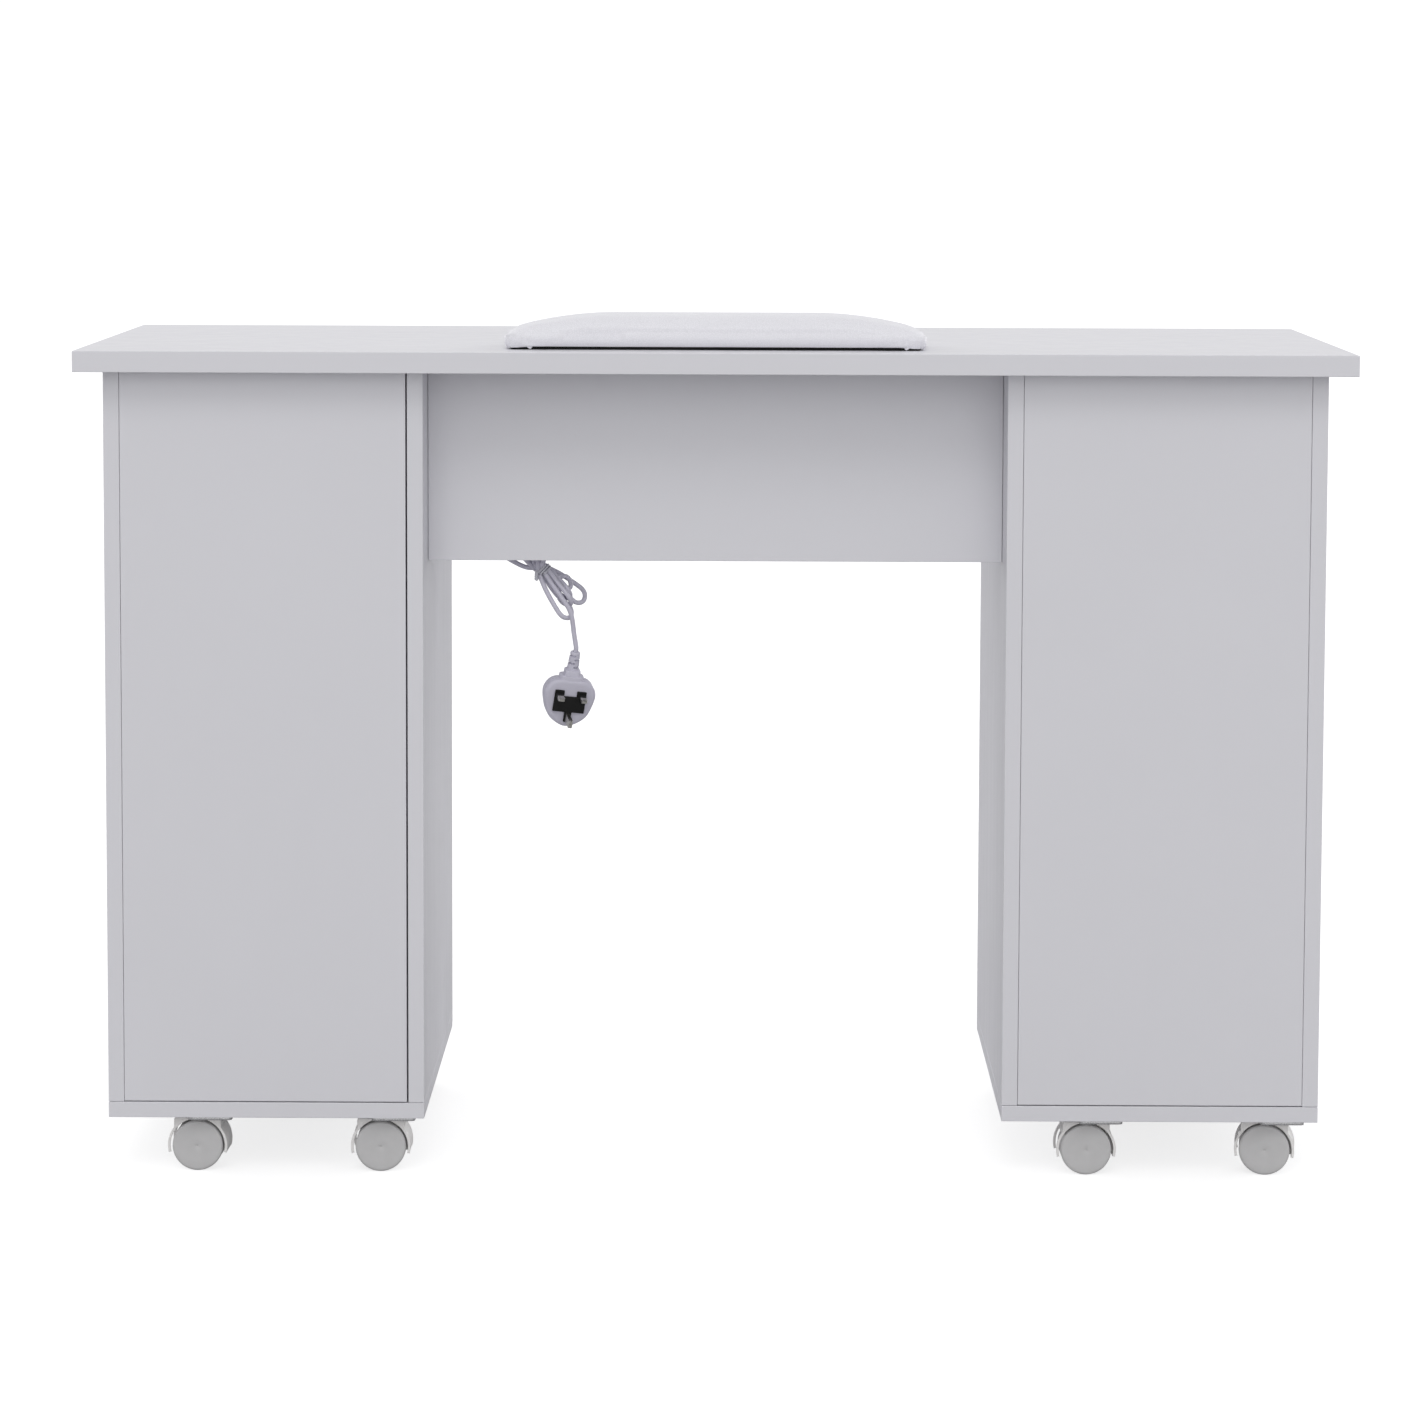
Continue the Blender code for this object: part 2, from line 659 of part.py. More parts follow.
def fan_housing():
    """An open-topped box under the cut-out, with an outlet, a motor cup on four arms and a switch bezel."""
    top = TOP_UNDER - GAP
    centre = (0.0, VENT_Y, 0.0)
    shell = box(
        "fan_housing",
        (HOUSING_LEFT, VENT_Y - HOUSING_HALF_D - HOUSING_WALL, HOUSING_LOW),
        (-HOUSING_LEFT, HOUSING_REAR, top),
        GREY_PLASTIC,
    )
    flange = box(
        "fan_housing_flange",
        (-HOUSING_HALF_W - 0.013, VENT_Y - HOUSING_HALF_D - 0.013, top - 0.003),
        (HOUSING_HALF_W + 0.013, VENT_Y + HOUSING_HALF_D + 0.013, top),
    )
    hollow = box(
        "fan_housing_hollow",
        (-HOUSING_HALF_W, VENT_Y - HOUSING_HALF_D, HOUSING_LOW + HOUSING_WALL),
        (HOUSING_HALF_W, VENT_Y + HOUSING_HALF_D, top + 0.01),
    )
    outlet = cylinder(
        "fan_outlet_cutter", FAN_R + 0.004, HOUSING_LOW - 0.01, HOUSING_LOW + 0.02, centre, sides=40
    )
    arm_long = box(
        "fan_arm_x",
        (-FAN_R - 0.008, VENT_Y - 0.003, HOUSING_LOW + 0.0002),
        (FAN_R + 0.008, VENT_Y + 0.003, HOUSING_LOW + 0.0028),
    )
    arm_cross = box(
        "fan_arm_y",
        (-0.003, VENT_Y - FAN_R - 0.008, HOUSING_LOW + 0.0004),
        (0.003, VENT_Y + FAN_R + 0.008, HOUSING_LOW + 0.0026),
    )
    cup = cylinder("motor_cup", 0.018, HOUSING_LOW + 0.0001, HOUSING_LOW + 0.014, centre)
    bore = cylinder(
        "motor_bore", FAN_SHAFT_R + 0.0004, HOUSING_LOW + 0.005, HOUSING_LOW + 0.03, centre, sides=16
    )
    bezel = box(
        "switch_bezel",
        (SWITCH_X - SWITCH_W / 2 - 0.003, HOUSING_REAR - 0.002, SWITCH_Z - SWITCH_H / 2 - 0.003),
        (SWITCH_X + SWITCH_W / 2 + 0.003, HOUSING_REAR + BEZEL_PROUD, SWITCH_Z + SWITCH_H / 2 + 0.003),
    )
    recess = box(
        "switch_recess",
        (SWITCH_X - SWITCH_W / 2, HOUSING_REAR - 0.010, SWITCH_Z - SWITCH_H / 2),
        (SWITCH_X + SWITCH_W / 2, HOUSING_REAR + 0.010, SWITCH_Z + SWITCH_H / 2),
    )
    join(shell, flange)
    cut(shell, hollow, outlet)
    join(shell, arm_long, arm_cross, cup, bezel)
    cut(shell, bore, recess)


def rocker_switch():
    """The rocker stands proud of the bezel at its lower end, and pivots about X."""
    points = [(-0.0030, -0.0055), (0.0050, -0.0068), (0.0028, 0.0), (0.0018, 0.0068), (-0.0030, 0.0055)]
    shape = outline("rocker_switch", points, SWITCH_W / 2 - 0.0008, BLACK_PLASTIC)
    shape.rotation_euler = Euler((math.pi / 2, 0.0, math.pi / 2))
    shape.location = (SWITCH_X, HOUSING_REAR + 0.0005, SWITCH_Z)
    as_mesh(shape, BLACK_PLASTIC)


def impeller():
    """Pitched blades on a hub, with a shaft that runs down into the motor cup."""
    centre = (0.0, VENT_Y, 0.0)
    hub_top = IMPELLER_LOW + IMPELLER_H
    hub = cylinder("impeller", FAN_HUB_R, IMPELLER_LOW, hub_top, centre, material=BLACK_PLASTIC)
    shaft = cylinder(
        "impeller_shaft", FAN_SHAFT_R, HOUSING_LOW + 0.0070, IMPELLER_LOW + 0.004, centre, sides=12
    )
    join(hub, shaft)
    root = FAN_HUB_R - 0.0035
    length = FAN_R - root
    half = Vector((length / 2, BLADE_CHORD / 2, BLADE_T / 2))
    reach = root + length / 2
    for i in range(FAN_BLADES):
        turn = 2 * math.pi * i / FAN_BLADES
        blade = box(f"impeller_blade_{i}", -half, half)
        blade.location = (
            reach * math.cos(turn),
            VENT_Y + reach * math.sin(turn),
            IMPELLER_LOW + IMPELLER_H / 2,
        )
        blade.rotation_euler = Euler((BLADE_PITCH, 0.0, turn))
        join(hub, blade)
    as_mesh(hub, BLACK_PLASTIC)


# ---- mains cord and plug ----
def strain_relief():
    """The tapered gland on the housing's left wall, where the flex comes out."""
    profile = [
        (0.0, GLAND_L),
        (0.0036, GLAND_L),
        (0.0052, 0.005),
        (0.0085, 0.004),
        (0.0085, GAP),
        (0.0, GAP),
    ]
    obj = turned("cord_strain_relief", profile, 16, WHITE_PLASTIC)
    obj.location = (HOUSING_LEFT, GLAND_Y, GLAND_Z)
    obj.rotation_euler.y = -math.pi / 2
    smooth_round(obj)


def fan_of_loops(name, direction, length, end_r):
    """One half of the hank: an outline that widens from the tie to a round end, standing in the XZ plane."""
    lean = math.asin((end_r - HANK_TIE_R) / length)
    span = math.pi + 2 * lean
    end = [span * (i / 16 - 0.5) for i in range(17)]
    tie = [span / 2 + (2 * math.pi - span) * i / 6 for i in range(7)]
    points = [(length + end_r * math.cos(a), end_r * math.sin(a)) for a in end]
    points += [(HANK_TIE_R * math.cos(a), HANK_TIE_R * math.sin(a)) for a in tie]
    shape = outline(name, points, HANK_HALF_T, FLEX)
    shape.location = TIE_AT
    shape.rotation_euler = Euler((math.pi / 2, -direction, 0.0))
    return as_mesh(shape, FLEX if name == "cord_hank" else None)


def fan_tip(direction, length, end_r):
    """The furthest point of one half of the hank, and the way that it points."""
    along = Vector((math.cos(direction), 0.0, math.sin(direction)))
    return Vector(TIE_AT) + along * (length + end_r), along


def cord():
    """The flex: a lead from the strain relief, a tied hank of the spare length and a tail to the plug."""
    upper_tip, upper_along = fan_tip(*UPPER_FAN)
    lower_tip, lower_along = fan_tip(*LOWER_FAN)
    lead = [
        (HOUSING_LEFT - GLAND_L - GAP, GLAND_Y, GLAND_Z),
        *LEAD_ROUTE,
        upper_tip + upper_along * 0.009,
        upper_tip + upper_along * 0.004,
        upper_tip + upper_along * 2 * GAP,
    ]
    tube("cord_lead", smooth_route(lead, 0.012), CORD_R, FLEX)
    hank = fan_of_loops("cord_hank", *LOWER_FAN)
    upper = fan_of_loops("cord_hank_upper", *UPPER_FAN)
    join(hank, upper)
    up = Euler(PLUG_TURN).to_matrix() @ Vector((0.0, 0.0, 1.0))
    inlet = Vector(PLUG_CENTRE) + up * (PLUG_RELIEF_TOP + 2 * GAP)
    tail = [
        lower_tip + lower_along * GAP,
        lower_tip + lower_along * 0.009,
        inlet + up * 0.009,
        inlet + up * 0.004,
        inlet,
    ]
    tube("cord_tail", smooth_route(tail, 0.006), CORD_R, FLEX)


def plug_shell():
    """The moulded body: a rounded outline with soft edges, and the collar that the flex goes into."""
    edge = 0.003
    curve = bpy.data.curves.new("plug_body", "CURVE")
    curve.dimensions = "2D"
    curve.fill_mode = "BOTH"
    curve.resolution_u = 5
    curve.extrude = PLUG_HALF_T - edge
    curve.bevel_depth = edge
    curve.bevel_resolution = 1
    curve.offset = -edge
    half = [(0.0165, 0.0225), (0.0245, 0.0130), (0.0238, 0.0), (0.0170, -0.0150)]
    points = [(0.0, 0.0236), *half, (0.0, -0.0236), *[(-x, y) for x, y in reversed(half)]]
    spline = curve.splines.new("BEZIER")
    spline.bezier_points.add(len(points) - 1)
    for target, (x, y) in zip(spline.bezier_points, points):
        target.co = (x, y, 0.0)
        target.handle_left_type = "AUTO"
        target.handle_right_type = "AUTO"
    spline.use_cyclic_u = True
    flat = put("plug_body", curve, FLEX)
    flat.rotation_euler.x = math.pi / 2
    body = as_mesh(flat, FLEX)
    profile = [
        (0.0, PLUG_RELIEF_TOP),
        (0.0048, PLUG_RELIEF_TOP),
        (0.0060, 0.0330),
        (0.0080, 0.0325),
        (0.0084, 0.0280),
        (0.0088, 0.0275),
        (0.0088, 0.0150),
        (0.0, 0.0150),
    ]
    join(body, as_mesh(turned("plug_relief", profile, 20)))
    return as_mesh(body, FLEX)


def plug_pin(name, x, z, half_w, half_h, length):
    face = -PLUG_HALF_T - BRIDGE_T
    return box(name, (x - half_w, face - length, z - half_h), (x + half_w, face + BRIDGE_T / 2, z + half_h))


def plug_insert():
    """The black insert, notched at its top, with a strip down to the earth pin and the three pins."""
    face = -PLUG_HALF_T - BRIDGE_T
    back = -PLUG_HALF_T - GAP
    insert = box("plug_pins", (-0.0155, face, -0.0095), (0.0155, back, 0.0120), BLACK_PLASTIC)
    notch = box("plug_notch", (-0.0062, -0.03, 0.0062), (0.0062, 0.0, 0.02))
    strip = box("plug_strip", (-0.0035, face + 0.0001, -0.0195), (0.0035, back - 0.0001, -0.0050))
    cut(insert, notch)
    join(
        insert,
        strip,
        plug_pin("plug_pin_left", -PIN_SPACING / 2, PIN_LINE, 0.0032, 0.0020, PIN_L),
        plug_pin("plug_pin_right", PIN_SPACING / 2, PIN_LINE, 0.0032, 0.0020, PIN_L),
        plug_pin("plug_pin_earth", 0.0, PIN_LINE - PIN_SPACING, 0.0020, 0.0040, EARTH_PIN_L),
    )
    return as_mesh(insert, BLACK_PLASTIC)


def plug():
    """A three-pin plug. Its own +Z is towards the cord and its pins point to its own -Y."""
    body = plug_shell()
    for obj in (body, plug_insert()):
        bake_place(obj)
        obj.location = PLUG_CENTRE
        obj.rotation_euler = PLUG_TURN
    smooth_round(body)


clear_scene()
PARTS = new_collection("manicure_table")
CUTTERS = new_collection("cutters")
CUTTERS.hide_render = True

LAMINATE = principled("white_laminate", (0.74, 0.74, 0.77), 0.42)
DRAWER_BOARD = principled("drawer_board", (0.70, 0.70, 0.72), 0.55)
GREY_PLASTIC = principled("grey_plastic", (0.42, 0.42, 0.43), 0.48)
WHEEL_PLASTIC = principled("wheel_plastic", (0.36, 0.36, 0.37), 0.52)
WHITE_PLASTIC = principled("white_plastic", (0.80, 0.80, 0.81), 0.40)
BLACK_PLASTIC = principled("black_plastic", (0.02, 0.02, 0.02), 0.45)
BLACK_BOARD = principled("black_board", (0.015, 0.015, 0.015), 0.60)
STEEL = principled("plated_steel", (0.62, 0.62, 0.63), 0.30, 1.0)
LEATHER = principled("white_leather", (0.80, 0.80, 0.80), 0.45)
FLEX = principled("white_flex", (0.52, 0.51, 0.56), 0.50)

tabletop()
pedestal("left", -1)
drawers(pedestal("right", 1))
modesty_panel()
door()
casters()
wrist_rest()
vent_grille()
fan_housing()
rocker_switch()
impeller()
strain_relief()
cord()
plug()
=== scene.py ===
import math

import bmesh
import bpy
from mathutils import Euler, Matrix, Vector


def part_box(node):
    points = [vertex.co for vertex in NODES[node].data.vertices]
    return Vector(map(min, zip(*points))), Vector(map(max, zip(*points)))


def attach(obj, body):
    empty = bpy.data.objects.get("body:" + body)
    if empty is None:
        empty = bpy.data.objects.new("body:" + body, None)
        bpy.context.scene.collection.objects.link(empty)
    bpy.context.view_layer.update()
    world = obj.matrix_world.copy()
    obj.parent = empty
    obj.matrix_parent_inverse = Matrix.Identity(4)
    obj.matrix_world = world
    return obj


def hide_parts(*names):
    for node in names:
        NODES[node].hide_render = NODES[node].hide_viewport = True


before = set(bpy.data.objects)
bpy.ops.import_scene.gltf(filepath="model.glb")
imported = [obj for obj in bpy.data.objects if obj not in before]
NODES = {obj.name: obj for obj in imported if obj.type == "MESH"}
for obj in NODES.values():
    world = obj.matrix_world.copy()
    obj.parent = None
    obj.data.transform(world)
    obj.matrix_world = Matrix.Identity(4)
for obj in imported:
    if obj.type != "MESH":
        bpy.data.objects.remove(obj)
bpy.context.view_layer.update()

# ---- the fitted camera, and sizes and places in metres that follow the CAD source ----
CAMERA_AT = (0.0151, -3.9588, 1.0144)
CAMERA_PITCH = math.radians(4.519)  # down from level
CAMERA_YAW = math.radians(0.269)
CAMERA_ROLL = math.radians(0.2045)
CAMERA_LENS = 101.34
CAMERA_SHIFT = -0.2

CORD_D = 0.0046
TIE_AT = Vector((-0.1684, -0.108, 0.573))
LEAD_ROUTE = (  # from the strain relief to the tie, behind the modesty panel
    (-0.1500, -0.030, 0.7355),
    (-0.1760, -0.040, 0.7250),
    (-0.2040, -0.060, 0.7000),
    (-0.2230, -0.082, 0.6670),
    (-0.2330, -0.096, 0.6420),
    (-0.2290, -0.0990, 0.6200),
    (-0.2190, -0.1000, 0.6000),
    (-0.2060, -0.1000, 0.5860),
    (-0.1950, -0.0995, 0.5785),
    (-0.1830, -0.0990, 0.5730),
)
PLUG_CENTRE = Vector((-0.1425, -0.108, 0.444))
PLUG_TURN = Euler((math.radians(11.0), math.radians(7.0), math.radians(13.0)))
PLUG_RELIEF_TOP = 0.0505
PLUG_FACE = 0.0100  # from the plug's middle to the black insert's face
PIN_SPACING = 0.02223
PIN_LINE = 0.0090  # from the plug's middle up to the two flat pins
PIN_L = 0.0177
EARTH_PIN_L = 0.0227
RELIEF_SLOTS = 4
TIE_R = 0.0010
TIE_UP = -0.0030  # from the hank's middle towards the lead

CASTER_H = 0.0553
WHEEL_R = 0.0242
WHEEL_HALF_W = 0.018
CASTER_TRAIL = 0.013
HOOD_HALF_W = 0.0165
HOOD_OUTER_R = 0.0286
HOOD_INNER_R = 0.0261
HOOD_SKIRT = 0.0070  # from the axle down to the hood's lower edge
HOOD_TOP = 0.0513
HOOD_FACE = 0.0020  # depth of the hood's arm over each wheel where the middle is open
HOOD_OPENS = 147.0  # the angle past which the hood's middle is open
WEB_HALF = 0.0042
PLATE_SCREW_H = 0.0004  # flat heads, so that the hood turns under them
CLIENT_CASTER_YAW = (-2.0, 0.0, 1.0, -8.0)
REAR_CASTER_YAW = (-5.0, 4.0, 2.0, -3.0)
HINGE_R = 0.0026

REST_MID_T = 0.0290
REST_END_T = 0.0120  # lower than the CAD solid's, closer to the photograph
REST_FLAT_HALF = 0.095
REST_SLOPE_POWER = 1.9
CUSHION_SLACK = 0.0020  # the foam is this much smaller than its cover
END_ROUND = 0.016
END_POWER = 2.6  # how squarely the ends are drawn in, seen from above
SECTION_POWERS = (0.42, 0.55)  # across and up: under 1 is fuller than an ellipse
FLAT_BELOW = -0.6  # where the round section is cut flat, from -1 at its foot to 1 at its crown
BOARD_CORNER = 0.007
HEM_SHARE = 0.40  # the share of the black board's thickness that the cover's hem hides
HEM_SHARE_END = 0.75  # the same at both ends
SIDE_H = 0.0095  # from the board to where the cushion is widest
FOOT_H = 0.0025  # the part of it that becomes the hem's edge
SIDE_OUT = 0.0058  # the cushion's widest, out from the board's edge
FOOT_IN = 0.0034  # the hem's edge is this much further in
FOLD_X = (-0.1758, 0.1810)
FOLD_LEAN = (0.0010, -0.0012)
FOLD_L = 0.0032
INFLATED_CAP = 0.003  # how far the cover may swell at any point
RIM_BAND = (-0.010, -0.002)  # out from the board's edge: where the side's own shape takes over
END_HEM_BAND = (0.030, 0.005)  # in from each end: where the deeper hem takes over
GATHER_L, GATHER_H = 0.045, 0.009  # the cover is gathered this near to its ends and foot
GATHER_DEPTH = 0.0009
PLEATS = (1050.0, 950.0)  # in radians to the metre, along the sides and across the ends
END_PLEAT_L = 0.008
BLADES = 7
BLADE_SECTION = (  # shares of the chord, and how far off its middle line
    (-0.5, 0.0), (-0.25, 0.0007), (0.1, 0.0009), (0.5, 0.0), (0.1, -0.0004), (-0.25, -0.0005),
)
BOARDS = ("outer_side_panel", "inner_side_panel", "floor_board", "client_panel")
LEVELS = ("lower", "middle", "upper")

WHITE = (1.0, 1.0, 1.0, 1.0)
SURROUND = 0.73  # strength of the even white surround
LAMPS = (  # strength, where from, how soft in degrees: a high key, a low front fill and two from behind
    (0.42, (-0.3, -3.6, 4.4), 24.0),
    (0.70, (0.2, -4.0, 0.6), 60.0),
    (1.05, (3.8, 3.2, 1.5), 40.0),
    (1.05, (-3.8, 3.2, 1.5), 40.0),
)
LAMPS_AIM = (0.0, 0.0, 0.4)
FLOOR_TONES = ((0.39, 0.39, 0.40, 1.0), (0.42, 0.42, 0.42, 1.0))
FLOOR_GLOW = 0.75  # the floor shows white to the camera, as a lit studio sweep does


# ---- shader tools ----
def put(tree, socket, value):
    """A socket takes a value, or another node's output by a link."""
    if isinstance(value, bpy.types.NodeSocket):
        tree.links.new(value, socket)
    else:
        socket.default_value = value


def feed(tree, node, **inputs):
    """Sets a node's inputs by name. A space in a name is an underscore."""
    for key, value in inputs.items():
        put(tree, node.inputs[key.replace("_", " ")], value)


def add(tree, kind, settings=None, **inputs):
    """A new shader node with its settings and inputs."""
    node = tree.nodes.new("ShaderNode" + kind)
    for key, value in (settings or {}).items():
        setattr(node, key, value)
    feed(tree, node, **inputs)
    return node


def mix(tree, factor, a, b):
    """A colour between a and b."""
    node = add(tree, "Mix", {"data_type": "RGBA", "clamp_factor": True})
    for socket, value in zip((node.inputs[0], node.inputs[6], node.inputs[7]), (factor, a, b)):
        put(tree, socket, value)
    return node.outputs[2]


def spread(tree, value, low, high, to_low, to_high):
    """A value moved from one range to another."""
    ranges = {"From_Min": low, "From_Max": high, "To_Min": to_low, "To_Max": to_high}
    return add(tree, "MapRange", Value=value, **ranges).outputs[0]


def shade(colour, factor):
    return (*(min(c * factor, 1.0) for c in colour[:3]), 1.0)


def blotches(tree, place, scale, detail=3.0, rough=0.55):
    """A noise value at this many features per metre."""
    return add(tree, "TexNoise", Vector=place, Scale=scale, Detail=detail, Roughness=rough).outputs["Fac"]


def bumped(tree, height, distance, strength=1.0, **normal):
    return add(tree, "Bump", Height=height, Distance=distance, Strength=strength, **normal).outputs[0]


def new_material(name):
    material = bpy.data.materials.new(name)
    material.use_nodes = True
    tree = material.node_tree
    shader = tree.nodes["Principled BSDF"]
    return material, tree, shader, add(tree, "TexCoord").outputs["Object"]


def plastic(name, colour, roughness, grain=900.0, depth=0.00003, tone=0.05, shine=0.5):
    """Moulded plastic: a fine spark-eroded grain, faint flow marks and patches that shine a little more."""
    material, tree, shader, place = new_material(name)
    flow = blotches(tree, place, 60.0)
    handled = blotches(tree, place, 30.0)
    feed(
        tree, shader,
        Metallic=0.0,
        IOR=1.46,
        Specular_IOR_Level=shine,
        Base_Color=mix(tree, flow, shade(colour, 1 - tone), shade(colour, 1 + tone)),
        Roughness=spread(tree, handled, 0.3, 0.7, roughness - 0.06, roughness + 0.06),
        Normal=bumped(tree, blotches(tree, place, grain, 2.0), depth),
    )
    return material


def laminate(name, colour, roughness):
    """Melamine-faced board: a very fine pebbled press texture, a slight cloudiness and soft scuffs."""
    material, tree, shader, place = new_material(name)
    cloud = blotches(tree, place, 7.0, 4.0)
    speck = blotches(tree, place, 650.0, 2.0)
    base = mix(tree, cloud, shade(colour, 0.985), shade(colour, 1.012))
    flecks = spread(tree, speck, 0.66, 0.74, 0.0, 0.35)
    scuffs = add(tree, "Mapping", Vector=place, Scale=(1.0, 1.0, 0.15)).outputs[0]
    worn = blotches(tree, scuffs, 45.0, 5.0, 0.6)
    pebble = add(tree, "TexVoronoi", {"feature": "SMOOTH_F1"}, Vector=place, Scale=1100.0)
    waves = bumped(tree, blotches(tree, place, 22.0, 2.0), 0.00006)
    feed(
        tree, shader,
        IOR=1.48,
        Base_Color=mix(tree, flecks, base, shade(colour, 0.93)),
        Roughness=spread(tree, worn, 0.35, 0.7, roughness - 0.05, roughness + 0.09),
        Normal=bumped(tree, pebble.outputs["Distance"], 0.000025, 0.8, Normal=waves),
    )
    return material


def leather(name, colour, roughness):
    """Coated leather: a pebble grain of small cells with creases between, painted darker there as painted
    shade, and a low sheen on top.
    """
    material, tree, shader, place = new_material(name)
    wander = add(tree, "TexNoise", Vector=place, Scale=160.0, Detail=2.0).outputs["Color"]
    bent = add(tree, "VectorMath", {"operation": "MULTIPLY_ADD"})
    for socket, value in zip(bent.inputs, (wander, (0.0012, 0.0012, 0.0012), place)):
        put(tree, socket, value)
    cells = add(tree, "TexVoronoi", {"feature": "DISTANCE_TO_EDGE"}, Vector=bent.outputs[0], Scale=620.0)
    crown = spread(tree, cells.outputs["Distance"], 0.0, 0.22, 0.0, 1.0)
    base = mix(tree, blotches(tree, place, 18.0), shade(colour, 0.97), shade(colour, 1.02))
    pulled = bumped(tree, blotches(tree, place, 55.0, 3.0), 0.00025, 0.6)
    feed(
        tree, shader,
        IOR=1.45,
        Coat_Weight=0.12,
        Coat_Roughness=0.30,
        # the creases between the cells are painted 10% darker than the crowns: painted shade in the creases
        Base_Color=mix(tree, crown, shade(colour, 0.90), base),
        Roughness=spread(tree, crown, 0.0, 1.0, roughness + 0.18, roughness - 0.04),
        Normal=bumped(tree, crown, 0.00006, 0.9, Normal=pulled),
    )
    return material


def metal(name, colour, roughness, stretch=(1.0, 1.0, 1.0)):
    """Plated metal with lines drawn along the axis that stretch makes small, and a few dull patches."""
    material, tree, shader, place = new_material(name)
    drawn = add(tree, "Mapping", Vector=place, Scale=stretch).outputs[0]
    lines = blotches(tree, drawn, 700.0, 4.0, 0.7)
    patches = blotches(tree, place, 90.0)
    feed(
        tree, shader,
        Metallic=1.0,
        Base_Color=mix(tree, patches, shade(colour, 0.90), shade(colour, 1.06)),
        Roughness=spread(tree, lines, 0.3, 0.7, roughness - 0.08, roughness + 0.10),
        Normal=bumped(tree, lines, 0.00002),
    )
    return material


# ---- mesh tools ----
def linked(name, data):
    obj = bpy.data.objects.new(name, data)
    bpy.context.scene.collection.objects.link(obj)
    return obj


def baked(obj):
    """A new mesh with the object's modifiers applied."""
    return bpy.data.meshes.new_from_object(obj.evaluated_get(bpy.context.evaluated_depsgraph_get()))


def bake(obj):
    """Applies the object's modifiers to its own mesh."""
    mesh = baked(obj)
    obj.modifiers.clear()
    obj.data = mesh
    return mesh


def smooth(mesh, degrees=40.0):
    mesh.shade_smooth()
    mesh.set_sharp_from_angle(angle=math.radians(degrees))


def piece(name, mesh, material, body, stands_for=(), degrees=40.0, place=Matrix.Identity(4)):
    """A shown piece: its mesh or work mesh, its material, its body and the CAD nodes it stands for."""
    if isinstance(mesh, bmesh.types.BMesh):
        mesh = mesh_from(mesh, name)
    obj = linked(name, mesh)
    obj.matrix_world = place
    if not mesh.materials:
        mesh.materials.append(material)
        if isinstance(mesh, bpy.types.Mesh):
            smooth(mesh, degrees)
    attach(obj, body)
    if stands_for:
        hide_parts(*stands_for)
    return obj


def mesh_from(work, name):
    mesh = bpy.data.meshes.new(name)
    bmesh.ops.recalc_face_normals(work, faces=work.faces)
    work.to_mesh(mesh)
    work.free()
    return mesh


def rings(work, loops):
    """Quads between neighbouring closed loops of points, with a face over each end."""
    rows = [[work.verts.new(point) for point in loop] for loop in loops]
    count = len(rows[0])
    for near, far in zip(rows, rows[1:]):
        for i in range(count):
            j = (i + 1) % count
            work.faces.new((near[i], near[j], far[j], far[i]))
    work.faces.new(rows[0])
    work.faces.new(rows[-1])


def oval(centre, half_x, half_y, sides):
    """Points round a level oval."""
    turns = [2 * math.pi * i / sides for i in range(sides)]
    return [Vector(centre) + Vector((half_x * math.cos(a), half_y * math.sin(a), 0.0)) for a in turns]


def lathe(work, profile, place=Matrix.Identity(4), sides=48):
    """A (radius, height) profile turned about its own Z, moved by place."""
    rings(work, [[place @ point for point in oval((0.0, 0.0, h), r, r, sides)] for r, h in profile])


def turned(name, profile, place, sides=48):
    work = bmesh.new()
    lathe(work, profile, place, sides)
    return mesh_from(work, name)


def rounded_block(work, low, high, radius):
    """A box with every edge broken."""
    low, high = Vector(low), Vector(high)
    made = bmesh.ops.create_cube(work, size=1.0)["verts"]
    for vertex in made:
        vertex.co = (low + high) / 2 + Vector(c * s for c, s in zip(vertex.co, high - low))
    edges = list({edge for vertex in made for edge in vertex.link_edges})
    bmesh.ops.bevel(
        work, geom=edges, offset=radius, segments=1, profile=0.5, affect="EDGES", clamp_overlap=True
    )


def plate_mesh(name, outlines, half_thickness, edge, place=Matrix.Identity(4)):
    """A flat piece with rounded edges. The first outline is its rim in local XY, the others are holes."""
    curve = bpy.data.curves.new(name, "CURVE")
    curve.dimensions = "2D"
    curve.fill_mode = "BOTH"
    curve.extrude = half_thickness - edge
    curve.bevel_depth = edge
    curve.bevel_resolution = 2
    curve.offset = -edge
    for points in outlines:
        spline = curve.splines.new("POLY")
        spline.points.add(len(points) - 1)
        for target, point in zip(spline.points, points):
            target.co = (point[0], point[1], 0.0, 1.0)
        spline.use_cyclic_u = True
    holder = linked(name, curve)
    bpy.context.view_layer.update()
    mesh = baked(holder)
    bpy.data.objects.remove(holder)
    work = bmesh.new()
    work.from_mesh(mesh)
    bmesh.ops.remove_doubles(work, verts=work.verts, dist=0.000005)
    bmesh.ops.transform(work, matrix=place, verts=work.verts)
    return mesh_from(work, name)


def joined(name, *meshes):
    work = bmesh.new()
    for mesh in meshes:
        work.from_mesh(mesh)
    return mesh_from(work, name)


def arc(centre, radius, start, end, steps):
    turns = [math.radians(start + (end - start) * i / steps) for i in range(steps + 1)]
    return [(centre[0] + radius * math.cos(a), centre[1] + radius * math.sin(a)) for a in turns]


def round_corners(points, radius, steps=4):
    """An outline with each corner rounded."""
    rounded = []
    for i, point in enumerate(points):
        before, at, after = Vector(points[i - 1]), Vector(point), Vector(points[(i + 1) % len(points)])
        start = at + (before - at).normalized() * radius
        end = at + (after - at).normalized() * radius
        for k in range(steps + 1):
            t = k / steps
            rounded.append(start.lerp(at, t).lerp(at.lerp(end, t), t))
    return rounded


def rectangle(low, high, radius):
    return round_corners([low, (high[0], low[1]), high, (low[0], high[1])], radius)


UPRIGHT = Matrix.Rotation(math.pi / 2, 4, "X")  # stands an XY outline up in XZ


